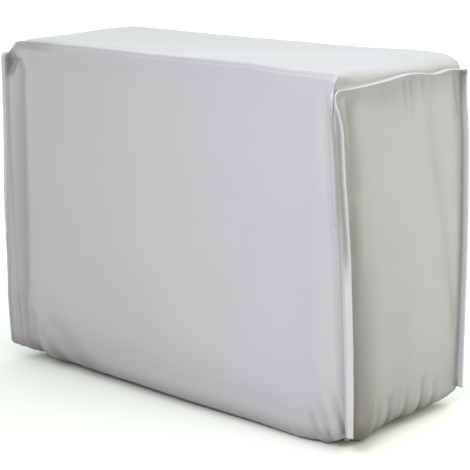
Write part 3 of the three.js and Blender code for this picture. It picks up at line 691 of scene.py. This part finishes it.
columns = (
    [("fin", 1, w) for w in FIN_STEPS] + [("drop", 1, a) for a in DROP_STEPS]
    + [("body", 0, f) for f in body_steps(BODY_COUNT)]
    + [("drop", -1, a) for a in reversed(DROP_STEPS)]
    + [("fin", -1, w) for w in reversed(FIN_STEPS)]
)
print("columns across the strip", len(columns))

# %% A point of the strip
def strip_point(stage, t, column):
    """On the fin, on the flat body, or on the rounded drop between them."""
    kind, side, value = column
    if kind == "fin":
        return fin_point(side, stage, t, value, 0.0)
    if kind == "body":
        x = mix(flat_limit(1, stage, t), flat_limit(-1, stage, t), value)
        return body_point(stage, t, x)
    s = fin_point(side, stage, t, SEAM_IN, 0.0)
    inner = flat_limit(side, stage, t)
    power = SQUARE[side](s.y)
    if stage in (FRONT, BACK):
        power = mix(2.2, power, smooth((s.z - 430) / 80))
    a = math.radians(value)
    x = mix(inner, s.x, math.cos(a) ** (2 / power))
    rise = math.sin(a) ** (2 / power)
    target = body_point(stage, t, x if stage in (FRONT, BACK) else inner)
    p = Vector((x, mix(s.y, target.y, rise), mix(s.z, target.z, rise)))
    if stage == OVER:
        p.x += side * pucker(p.y, 6 + 20 * rise, 6.0 + side, size=1.6) * (1 - rise) * 1.5
    corner = corner_near(stage, t, s)
    if side > 0:      # the front stands out past the seam like a small ear
        p.x += 7.5 * math.sin(2 * a) * corner
    else:             # the cloth sinks between the fin and the face
        sink = math.sin(math.pi * clamp(value / 64)) * corner
        sink *= {FRONT: 1.0, TURN_UP: mix(1.0, 0.4, t), OVER: 0.4}.get(stage, 0.0)
        p += Vector((0.1, 1.0, -0.1)) * 15 * sink
    return p


def corner_near(stage, t, s):
    """1 at the front top corner, fading down the front and back along the top."""
    if stage in (TURN_DOWN, BACK):
        return 0.0
    return smooth((s.z - 486) / 34) * smooth((-112 - s.y) / 34)


# %% [markdown]
# ## The turned hem
# An elastic draws the hem under the cover and gathers it. The wall is carried on round
# a quarter circle and into a narrow lip, so that the open bottom shows a real edge.

# %% Rows of the hem
HEM_STEPS = [8, 16, 24, 32, 40, 48, 56, 64, 72, 80, 87]     # degrees round the turn
LIP_STEPS = 3
HEM_ROWS = len(HEM_STEPS) + LIP_STEPS
HEM_INSET, LIP = 25.0, 15.0          # how far under the hem turns, and the lip beyond it
LOWEST = -27.6                       # a little above the ground, so no cloth goes below it


def hem_profile(step, drop, inset):
    """How far under and how far down a row of the hem lies: a quarter round, then a lip."""
    if step < len(HEM_STEPS):
        a = math.radians(HEM_STEPS[step])
        return inset * (1 - math.cos(a)), drop * math.sin(a)
    lip = (step - len(HEM_STEPS) + 1) / LIP_STEPS
    return inset + lip * LIP * clamp(inset / HEM_INSET, 0.35, 1), drop * mix(1.0, 0.93, lip)


def strip_hem_point(front, step, column):
    """Near a seam the hem is drawn in sideways too, so that the foot closes neatly."""
    stage, t = (FRONT, 0.0) if front else (BACK, 1.0)
    p = strip_point(stage, t, column)
    right, left = seam_at(1, stage, t)[0], seam_at(-1, stage, t)[0]
    to_seam = min(abs(right - p.x), abs(p.x - left))
    low = (HEM_FRONT if front else HEM_BACK)(p.x)
    drop = max(p.z - low, 6)
    inset = mix(7, HEM_INSET, smooth(to_seam / 46))
    into, down = hem_profile(step, drop, inset)
    tuck = hem_gather(p.x, drop - down, FRONT_SEED if front else BACK_SEED, to_seam)
    into -= tuck
    down -= 0.5 * tuck
    pull = into * (1 - smooth(to_seam / 60)) * math.copysign(1, p.x)
    return Vector((p.x - pull, p.y + (into if front else -into), max(p.z - down, LOWEST)))


def hem_gather(a, h, seed, to_seam):
    """Fine gathers that the elastic makes where the hem turns under."""
    fade = smooth(to_seam / 18) * math.exp(-max(h, 0) / 16)
    return 3.4 * fade * (grain(a / 5.2, seed + 2) + 0.7 * grain(a / 11, seed + 4))


# %% Build the strip
CLOTH = 0.3           # thickness of one layer


def wall_steps(count):
    """Closer near the hem, where the gathers are."""
    return [(k / count) ** 1.35 for k in range(count + 1)]


def hem_row(front, step):
    """The hem has no fin: the seam ends where the hem turns."""
    return [None if c[0] == "fin" and c[2] > 0 else strip_hem_point(front, step, c)
            for c in columns]


stations = ([(FRONT, v) for v in wall_steps(60)]
            + [(TURN_UP, k / 20) for k in range(1, 21)]
            + [(OVER, k / 36) for k in range(1, 37)]
            + [(TURN_DOWN, k / 12) for k in range(1, 13)]
            + [(BACK, 1 - v) for v in reversed(wall_steps(46)[:-1])])
strip_rows = ([hem_row(True, step) for step in reversed(range(HEM_ROWS))]
              + [[strip_point(stage, t, c) for c in columns] for stage, t in stations]
              + [hem_row(False, step) for step in range(HEM_ROWS)])
strip = cloth_from_grid("cover_strip", strip_rows, CLOTH, lambda r, c, p: strip_painted_shade(p))

# %% [markdown]
# ## The end panels
# Each end panel is cut to the shape inside the seam line. Its edge turns outward and
# lies against the strip's edge inside the tape, and its foot turns under like the rest.
# The grid is stretched between its four edges, as cloth is, and then gets its relief.

# %% The outline of an end panel
END_LAYER = -0.45                # the turned edge lies this far below the strip's edge
EDGE_W, EDGE_N = 0.9, -1.6       # where the panel leaves the fin
END_ROWS, END_COLS = 64, 80
WALL, CORNER, LEVEL = 520.0, 8.0, 300.0      # lengths of the outline's parts


def edge_point(side, u):
    """A point of the outline, u from 0 at the front foot to 1 at the back foot."""
    return fin_point(side, *outline_stage(u), EDGE_W, EDGE_N)


def outline_stage(u):
    """The outline in three parts: front, over and back, split in mid corner."""
    part, rest = min(int(u * 3), 2), u * 3 - min(int(u * 3), 2)
    if part == 0:
        d = rest * (WALL + CORNER)
        return (FRONT, d / WALL) if d <= WALL else (TURN_UP, 0.5 * (d - WALL) / CORNER)
    if part == 2:
        d = rest * (WALL + CORNER)
        if d < CORNER:
            return TURN_DOWN, 0.5 + 0.5 * d / CORNER
        return BACK, (d - CORNER) / WALL
    d = rest * (LEVEL + 2 * CORNER)
    if d < CORNER:
        return TURN_UP, 0.5 + 0.5 * d / CORNER
    if d <= CORNER + LEVEL:
        return OVER, (d - CORNER) / LEVEL
    return TURN_DOWN, 0.5 * (d - CORNER - LEVEL) / CORNER


# %% A point of an end panel
def end_wall_point(side, r, c):
    """Stretched between the front, top and back edges and the foot, then given relief."""
    s, t = r / END_ROWS, c / END_COLS
    front, back = edge_point(side, s / 3), edge_point(side, 1 - s / 3)
    if c == 0:
        return front
    if c == END_COLS:
        return back
    top = edge_point(side, (1 + t) / 3)
    if r == END_ROWS:
        return top
    f0, b0 = edge_point(side, 0.0), edge_point(side, 1.0)
    f1, b1 = edge_point(side, 1 / 3), edge_point(side, 2 / 3)
    foot = f0.lerp(b0, t)
    foot.z = hem_start(HEM_END[side](foot.y), min(foot.y - f0.y, b0.y - foot.y), 42)
    v = (mix(front.z, back.z, t) - FOOT) / (mix(f1.z, b1.z, t) - FOOT)
    p = front.lerp(back, t) + foot * (1 - v) + top * v
    p -= f0.lerp(b0, t) * (1 - v) + f1.lerp(b1, t) * v
    above = 0.8 * (top.z - p.z) + 3
    near = min(p.y - front.y, back.y - p.y, above)
    p.x += side * relief_end(side, p.y, p.z) * smooth(near / 15)
    p.x += side * 3 * math.sin(math.pi * t) * math.sin(math.pi * clamp(s))
    p.x += side * pucker(p.z, min(p.y - front.y, back.y - p.y), 12.0 + side)
    p.x += side * pucker(p.y, max(above - 3, 0), 17.0 + side, 26.0, 1.5)
    return p


def end_hem_point(side, step, c, wall):
    f0, b0 = wall[0], wall[-1]
    p = wall[c]
    to_seam = min(p.y - f0.y, b0.y - p.y)
    inset = mix(7, HEM_INSET, smooth(to_seam / 46))
    drop = max(p.z - HEM_END[side](p.y), 6)
    into, down = hem_profile(step, drop, inset)
    tuck = hem_gather(p.y, drop - down, END_SEED + side, to_seam)
    into -= tuck
    down -= 0.5 * tuck
    pull = into * (1 - smooth(to_seam / 60)) * math.copysign(1, p.y - (f0.y + b0.y) / 2)
    return Vector((p.x - side * into, p.y - pull, p.z - down))


# %% Build both end panels
EDGE_STEPS = [BEND_TO, 6.5, 10.0, FIN]       # the turned edge, from the panel outward


def make_end(side, name):
    """The wall over its hem, with the turned edge added on three sides of the grid."""
    wall = [[end_wall_point(side, r, c) for c in range(END_COLS + 1)]
            for r in range(END_ROWS + 1)]
    hem = [[end_hem_point(side, k, c, wall[0]) for c in range(END_COLS + 1)]
           for k in reversed(range(HEM_ROWS))]
    no_edge = [None] * len(EDGE_STEPS)

    def edge(u, w):
        return fin_point(side, *outline_stage(u), w, END_LAYER)

    full = [no_edge + row + no_edge for row in hem]
    for r, row in enumerate(wall):
        u = r / END_ROWS / 3
        full.append([edge(u, w) for w in reversed(EDGE_STEPS)] + row
                    + [edge(1 - u, w) for w in EDGE_STEPS])
    for w in EDGE_STEPS:
        line = [edge((1 + c / END_COLS) / 3, w) for c in range(END_COLS + 1)]
        full.append(no_edge + line + no_edge)
    if side < 0:      # turned round, so that its faces point outward too
        full = [list(reversed(row)) for row in full]
    return cloth_from_grid(name, full, CLOTH, lambda r, c, p: end_painted_shade(side, p))


end_right = make_end(1, "cover_end_right")
end_left = make_end(-1, "cover_end_left")

# %% [markdown]
# ## The edge tape
# A woven tape folded over the raw edges, stitched through all layers. It is a long
# narrow sheet with a U-shaped section that follows the seam line from foot to foot. A
# bevelled curve could make it too, but wouldn't lean with the cloth inside it.

# %% Build the tapes
TAPE = 0.45                      # thickness of the tape
TAPE_OUT = 0.45                  # its outer half lies this far above the strip's edge
TAPE_IN = END_LAYER - TAPE_OUT   # its inner half, below the end panel's edge
TAPE_FOLD = FIN + 0.7            # where it folds over the raw edges
TAPE_PAINTED_SHADE, BEHIND_PAINTED_SHADE = 0.16, 0.72   # painted shade on the upright tape, and where it lies back behind the front
TAPE_PATH = [(3.4, TAPE_OUT + 0.12), (4.6, TAPE_OUT), (7.5, TAPE_OUT + 0.15),
             (10.5, TAPE_OUT + 0.1), (FIN, TAPE_OUT + 0.05), (TAPE_FOLD - 0.15, 0.15),
             (TAPE_FOLD, -0.225), (TAPE_FOLD - 0.15, -0.6), (FIN, TAPE_IN - 0.05),
             (10.5, TAPE_IN - 0.1), (7.5, TAPE_IN - 0.15), (4.6, TAPE_IN),
             (3.4, TAPE_IN - 0.12)]
tape_stations = ([(FRONT, k / 150) for k in range(151)]
                 + [(TURN_UP, k / 10) for k in range(1, 11)]
                 + [(OVER, k / 90) for k in range(1, 91)]
                 + [(TURN_DOWN, k / 10) for k in range(1, 11)]
                 + [(BACK, k / 130) for k in range(1, 131)])


def tape_painted_shade(side, r, w):
    """Painted shade: none over the top, some upright, more where the right tape lies back."""
    stage, t = tape_stations[r]
    z = seam_at(side, stage, t)[2]
    tone = {FRONT: TAPE_PAINTED_SHADE, TURN_UP: mix(TAPE_PAINTED_SHADE, 0.0, t)}.get(stage, 0.0)
    if side > 0 and stage == FRONT:
        high = smooth((z - 235) / 70) * (1 - smooth((z - 498) / 20))
        tone += BEHIND_PAINTED_SHADE * high * (1 - smooth((w - 9.4) / 2.4))
    return tone


def make_tape(side, name):
    path = TAPE_PATH if side > 0 else list(reversed(TAPE_PATH))
    rows = [[fin_point(side, stage, t, w, n) for w, n in path] for stage, t in tape_stations]
    return cloth_from_grid(name, rows, TAPE, lambda r, c, p: tape_painted_shade(side, r, path[c][0]))


tape_right = make_tape(1, "edge_tape_right")
tape_left = make_tape(-1, "edge_tape_left")

# %% [markdown]
# ## Stitches
# Each stitch is a tiny lozenge of thread. One small shape is copied along the tape, on
# both faces, and all copies are one mesh, because hundreds of objects would be slow.

# %% One stitch, and many in one mesh
def stitch_shape():
    """Corners and faces of one stitch: along X, round in Y and Z, about unit size."""
    rings = [(-0.5, 0.35), (-0.25, 1.0), (0.25, 1.0), (0.5, 0.35)]
    points = [Vector((x, r * math.cos(k * math.tau / 6), r * math.sin(k * math.tau / 6)))
              for x, r in rings for k in range(6)]
    faces = [[a * 6 + k, a * 6 + (k + 1) % 6, a * 6 + 6 + (k + 1) % 6, a * 6 + 6 + k]
             for a in range(3) for k in range(6)]
    faces = [list(reversed(f)) for f in faces]
    faces += [list(range(6)), list(reversed(range(18, 24)))]
    return points, faces


def make_stitches(name, path, length, thick):
    """path gives each stitch's middle, direction and outward normal, in millimetres."""
    shape, shape_faces = stitch_shape()
    verts, faces = [], []
    for centre, along, out in path:
        along = along.normalized()
        side = out.cross(along).normalized()
        out = along.cross(side)
        base = len(verts)
        for p in shape:
            q = centre + along * p.x * length + side * p.y * thick + out * p.z * thick * 0.8
            verts.append(to_frame(q))
        faces += [[base + k for k in f] for f in shape_faces]
    mesh = bpy.data.meshes.new(name)
    mesh.from_pydata(verts, [], faces)
    for polygon in mesh.polygons:
        polygon.use_smooth = True
    piece = bpy.data.objects.new(name, mesh)
    bpy.context.scene.collection.objects.link(piece)
    print(name, len(path), "stitches")
    return piece


def tape_stitch_path(side, w, n, pitch):
    """Even steps along the tape, at w across it and n above its middle."""
    above = n + math.copysign(1, n)
    points = [(fin_point(side, s, t, w, n), fin_point(side, s, t, w, above))
              for s, t in tape_stations]
    path, left = [], pitch
    for (a, au), (b, bu) in zip(points, points[1:]):
        step = (b - a).length
        while left <= step:
            f = left / step
            path.append((a.lerp(b, f), b - a, (au - a).lerp(bu - b, f)))
            left += pitch
        left -= step
    return path


# %% Stitch both tapes
STITCH, PITCH, THREAD = 2.9, 4.2, 0.3        # length, distance apart, half thickness
ROW_AT = 4.9                                 # the row runs this far out along the fin


def stitch_tape(side, name):
    rows = (tape_stitch_path(side, ROW_AT, TAPE_OUT + THREAD, PITCH)
            + tape_stitch_path(side, ROW_AT, TAPE_IN - THREAD, PITCH))
    return make_stitches(name, rows, STITCH, THREAD)


stitches_right = stitch_tape(1, "tape_stitches_right")
stitches_left = stitch_tape(-1, "tape_stitches_left")

# %% [markdown]
# ## Taffeta
# The cloth is a tight plain weave of shiny thread. Seen close, warp and weft make a
# fine check; seen from afar, it has a soft, silky light that runs along each fold.
# The weave reads the UV map in metres, so it follows the cloth round every edge, and a
# slow cloud of two close greys keeps the panels from looking printed.

# %% Start a material and add nodes
def new_material(name):
    material = bpy.data.materials.new(name)
    material.use_nodes = True
    tree = material.node_tree
    tree.nodes.clear()
    out = tree.nodes.new("ShaderNodeOutputMaterial")
    shader = tree.nodes.new("ShaderNodeBsdfPrincipled")
    tree.links.new(shader.outputs["BSDF"], out.inputs["Surface"])
    return material, tree, shader


def add_node(tree, kind, settings=None, **inputs):
    node = tree.nodes.new(kind)
    for key, value in (settings or {}).items():
        setattr(node, key, value)
    for key, value in inputs.items():
        node.inputs[key.replace("_", " ")].default_value = value
    return node


# %% Colour and height of the weave
def weave_height(tree, uv, pitch):
    """Warp bands times weft bands: high where both threads are high."""
    weave = add_node(tree, "ShaderNodeMath", {"operation": "MULTIPLY"})
    for number, axis in enumerate(("X", "Y")):
        bands = add_node(tree, "ShaderNodeTexWave",
                         {"wave_type": "BANDS", "bands_direction": axis},
                         Scale=0.314 / pitch, Distortion=1.5, Detail=1.0, Detail_Scale=0.6)
        tree.links.new(uv.outputs["UV"], bands.inputs["Vector"])
        tree.links.new(bands.outputs["Fac"], weave.inputs[number])
    return weave.outputs["Value"]


def cloth_colour(tree, uv, cloud, dark, light, shade):
    """Two close colours in a slow cloud with long slubs, mixed toward a painted shade colour.
    """
    link = tree.links.new
    stretch = add_node(tree, "ShaderNodeMapping", Scale=(1.0, 0.12, 1.0))
    slub = add_node(tree, "ShaderNodeTexNoise", Scale=60.0, Detail=2.0, Roughness=0.6)
    link(uv.outputs["UV"], stretch.inputs["Vector"])
    link(stretch.outputs["Vector"], slub.inputs["Vector"])
    tone = add_node(tree, "ShaderNodeMath", {"operation": "MULTIPLY_ADD"})
    link(slub.outputs["Fac"], tone.inputs[0])
    tone.inputs[1].default_value = 0.25
    link(cloud.outputs["Fac"], tone.inputs[2])
    ramp = add_node(tree, "ShaderNodeMapRange", From_Min=0.35, From_Max=0.9)
    link(tone.outputs["Value"], ramp.inputs["Value"])
    plain = add_node(tree, "ShaderNodeMix", {"data_type": "RGBA"},
                     A=(*dark, 1), B=(*light, 1))
    link(ramp.outputs["Result"], plain.inputs["Factor"])
    # The attribute read here holds the painted shade, which mixes in the shade colour.
    crease = add_node(tree, "ShaderNodeAttribute", {"attribute_name": "crease"})
    shaded = add_node(tree, "ShaderNodeMix", {"data_type": "RGBA"}, B=(*shade, 1))
    link(crease.outputs["Fac"], shaded.inputs["Factor"])
    link(plain.outputs["Result"], shaded.inputs["A"])
    return shaded.outputs["Result"]


# %% A woven cloth material
def woven(name, dark, light, shade, pitch, roughness, sheen, bump):
    """Linear colours of the cloth and of its painted shade; pitch of the weave in metres."""
    material, tree, shader = new_material(name)
    link = tree.links.new
    uv = add_node(tree, "ShaderNodeUVMap", {"uv_map": "cloth"})
    place = add_node(tree, "ShaderNodeTexCoord")
    cloud = add_node(tree, "ShaderNodeTexNoise", Scale=7.0, Detail=3.0, Roughness=0.55)
    link(place.outputs["Object"], cloud.inputs["Vector"])
    link(cloth_colour(tree, uv, cloud, dark, light, shade), shader.inputs["Base Color"])
    gloss = add_node(tree, "ShaderNodeMapRange",
                     To_Min=roughness - 0.05, To_Max=roughness + 0.07)
    link(cloud.outputs["Fac"], gloss.inputs["Value"])
    link(gloss.outputs["Result"], shader.inputs["Roughness"])
    crumple = add_node(tree, "ShaderNodeTexNoise", Scale=26.0, Detail=4.0, Roughness=0.55)
    link(place.outputs["Object"], crumple.inputs["Vector"])
    low = add_node(tree, "ShaderNodeBump", Strength=0.1, Distance=0.0025)
    link(crumple.outputs["Fac"], low.inputs["Height"])
    high = add_node(tree, "ShaderNodeBump", Strength=bump, Distance=0.0002)
    link(weave_height(tree, uv, pitch), high.inputs["Height"])
    link(low.outputs["Normal"], high.inputs["Normal"])
    link(high.outputs["Normal"], shader.inputs["Normal"])
    shader.inputs["Sheen Weight"].default_value = sheen
    shader.inputs["Sheen Roughness"].default_value = 0.45
    shader.inputs["Metallic"].default_value = 0.2
    return material


# The third colour of each is the painted shade, darker and browner than the cloth.
taffeta = woven("silver_taffeta", (0.402, 0.380, 0.420), (0.422, 0.400, 0.441),
                (0.162, 0.1422, 0.1386), 0.0009, 0.4, 0.1, 0.25)
tape_weave = woven("edge_tape_weave", (0.49, 0.472, 0.515), (0.53, 0.512, 0.556),
                   (0.1728, 0.1656, 0.18), 0.0011, 0.5, 0.1, 0.35)
print("woven finishes", taffeta.name, tape_weave.name)

# %% [markdown]
# ## Thread
# The stitches are a plain spun thread, a little darker than the tape, with no weave of
# its own. A fine noise between two greys is enough at its size.

# %% A plain thread material
thread, thread_tree, thread_shader = new_material("stitch_thread")
thread_place = add_node(thread_tree, "ShaderNodeTexCoord")
thread_noise = add_node(thread_tree, "ShaderNodeTexNoise", Scale=900.0, Detail=2.0)
thread_colour = add_node(thread_tree, "ShaderNodeMix", {"data_type": "RGBA"},
                         A=(0.46, 0.46, 0.48, 1), B=(0.62, 0.62, 0.64, 1))
for start, end in (
        (thread_place.outputs["Object"], thread_noise.inputs["Vector"]),
        (thread_noise.outputs["Fac"], thread_colour.inputs["Factor"]),
        (thread_colour.outputs["Result"], thread_shader.inputs["Base Color"])):
    thread_tree.links.new(start, end)
thread_shader.inputs["Roughness"].default_value = 0.6

# %% Put the finishes on
for piece, finish in ((strip, taffeta), (end_right, taffeta), (end_left, taffeta),
                      (tape_right, tape_weave), (tape_left, tape_weave),
                      (stitches_right, thread), (stitches_left, thread)):
    piece.data.materials.append(finish)
    print(piece.name, "in", finish.name)

# %% [markdown]
# ## Tie the pieces to the frame
# Every piece rides on the one body, and each sheet stands for its CAD node, which is hidden.

# %% Ride and replace
for piece, node, slot in (
        (strip, "wrap_panel", "cover_cloth"), (end_right, "end_panel_right", "cover_cloth"),
        (end_left, "end_panel_left", "cover_cloth"),
        (tape_right, "seam_binding_right", "edge_tape"),
        (tape_left, "seam_binding_left", "edge_tape")):
    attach(piece, "root")
    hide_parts(node)
for piece in (stitches_right, stitches_left):
    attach(piece, "root")

# %% [markdown]
# ## Studio
# The cover stands on a wide, pale floor, as on a paper sweep. One large plane is enough.

# %% Floor
bpy.ops.mesh.primitive_plane_add(size=120, location=(0, 0, 0))
floor = bpy.context.object
floor.name = "studio_floor"
floor_paint, floor_tree, floor_shader = new_material("pale_floor")
floor_shader.inputs["Base Color"].default_value = (0.86, 0.855, 0.85, 1)
floor_shader.inputs["Roughness"].default_value = 0.9
floor_shader.inputs["Specular IOR Level"].default_value = 0.2
floor.data.materials.append(floor_paint)
print("floor at height", floor.location.z)

# %% [markdown]
# ## Dome
# Most of the light is soft and comes from all round, brighter above and behind the
# cover, so the top is the lightest side. A photograph of such a sky could do it, but a
# few graded values need no file: it is greener upward and less blue toward the right
# end, which gives that end its faint green.

# %% World
SKY = 0.98              # brightness of the dome, on average
SKY_SPREAD = 0.56       # how much brighter its bright side is, and its dark side darker
scene = bpy.context.scene
scene.view_settings.view_transform = "Standard"
world = bpy.data.worlds.new("studio_world")
scene.world = world
world.use_nodes = True
sky = world.node_tree
way = add_node(sky, "ShaderNodeTexCoord")


def across_sky(direction, low, high, start=-1.0):
    """A value that changes evenly across the dome, toward one direction."""
    toward = add_node(sky, "ShaderNodeVectorMath", {"operation": "DOT_PRODUCT"})
    toward.inputs[1].default_value = direction
    grade = add_node(sky, "ShaderNodeMapRange", From_Min=start, To_Min=low, To_Max=high)
    sky.links.new(way.outputs["Generated"], toward.inputs[0])
    sky.links.new(toward.outputs["Value"], grade.inputs["Value"])
    return grade.outputs["Result"]


tint = add_node(sky, "ShaderNodeCombineColor", Red=1.0)
dome = sky.nodes["Background"]
sky.links.new(across_sky((0.0, 0.0, 1.0), 0.89, 1.13), tint.inputs["Green"])
sky.links.new(across_sky((1.0, 0.0, 0.0), 1.06, 0.72, start=0.0), tint.inputs["Blue"])
sky.links.new(tint.outputs["Color"], dome.inputs["Color"])
sky.links.new(across_sky((0.12, 0.6, 0.86), SKY * (1 - SKY_SPREAD), SKY * (1 + SKY_SPREAD)),
              dome.inputs["Strength"])
print("dome from", SKY * (1 - SKY_SPREAD), "to", SKY * (1 + SKY_SPREAD))

# %% [markdown]
# ## Lamps
# One soft spotlight at the front right lights that side of the front and lets it fade
# toward the left foot. A very faint, wide lamp from the right warms the end panel.

# %% Lamps
def lamp(name, kind, place, aim, power, colour):
    """A lamp at a place, turned toward the point that it lights."""
    data = bpy.data.lights.new(name, kind)
    data.energy, data.color = power, colour
    thing = bpy.data.objects.new(name, data)
    thing.location = place
    aim_way = Vector(aim) - Vector(place)
    thing.rotation_euler = aim_way.to_track_quat("-Z", "Y").to_euler()
    scene.collection.objects.link(thing)
    return data


key = lamp("key_lamp", "SPOT", (0.85, -2.35, 1.95), (0.50, -0.16, 0.44), 188,
           (1.0, 0.945, 1.03))
key.spot_size, key.spot_blend, key.shadow_soft_size = math.radians(34), 0.8, 0.4
faint = lamp("end_lamp", "SUN", (2.887, 0.253, 0.776), (0, 0, 0), 0.06, (0.95, 1.0, 0.5))
faint.angle = math.radians(40)
print("lamps", key.name, key.energy, faint.name, round(faint.energy, 3))

# %% [markdown]
# ## Camera
# The camera was solved from the cover's corners in the photograph: about 2.8 m away,
# 43 degrees round to the right and 13 degrees up, with a long lens. Its three axes are
# put straight into a matrix, so it stands exactly where it was solved.

# %% Camera
right = Vector((0.7294, 0.6841, -0.0106)).normalized()
up = Vector((-0.1422, 0.1667, 0.9757)).normalized()
back = right.cross(up).normalized()
up = back.cross(right)
eye = to_frame(Vector((1912.3, -2000.1, 855.8)))
camera_data = bpy.data.cameras.new("photo_camera")
camera_data.lens, camera_data.sensor_width = 125.54, 36.0
camera = bpy.data.objects.new("photo_camera", camera_data)
camera.matrix_world = Matrix((
    (right.x, up.x, back.x, eye.x), (right.y, up.y, back.y, eye.y),
    (right.z, up.z, back.z, eye.z), (0, 0, 0, 1)))
scene.collection.objects.link(camera)
scene.camera = camera
print("camera at", [round(v, 2) for v in eye])
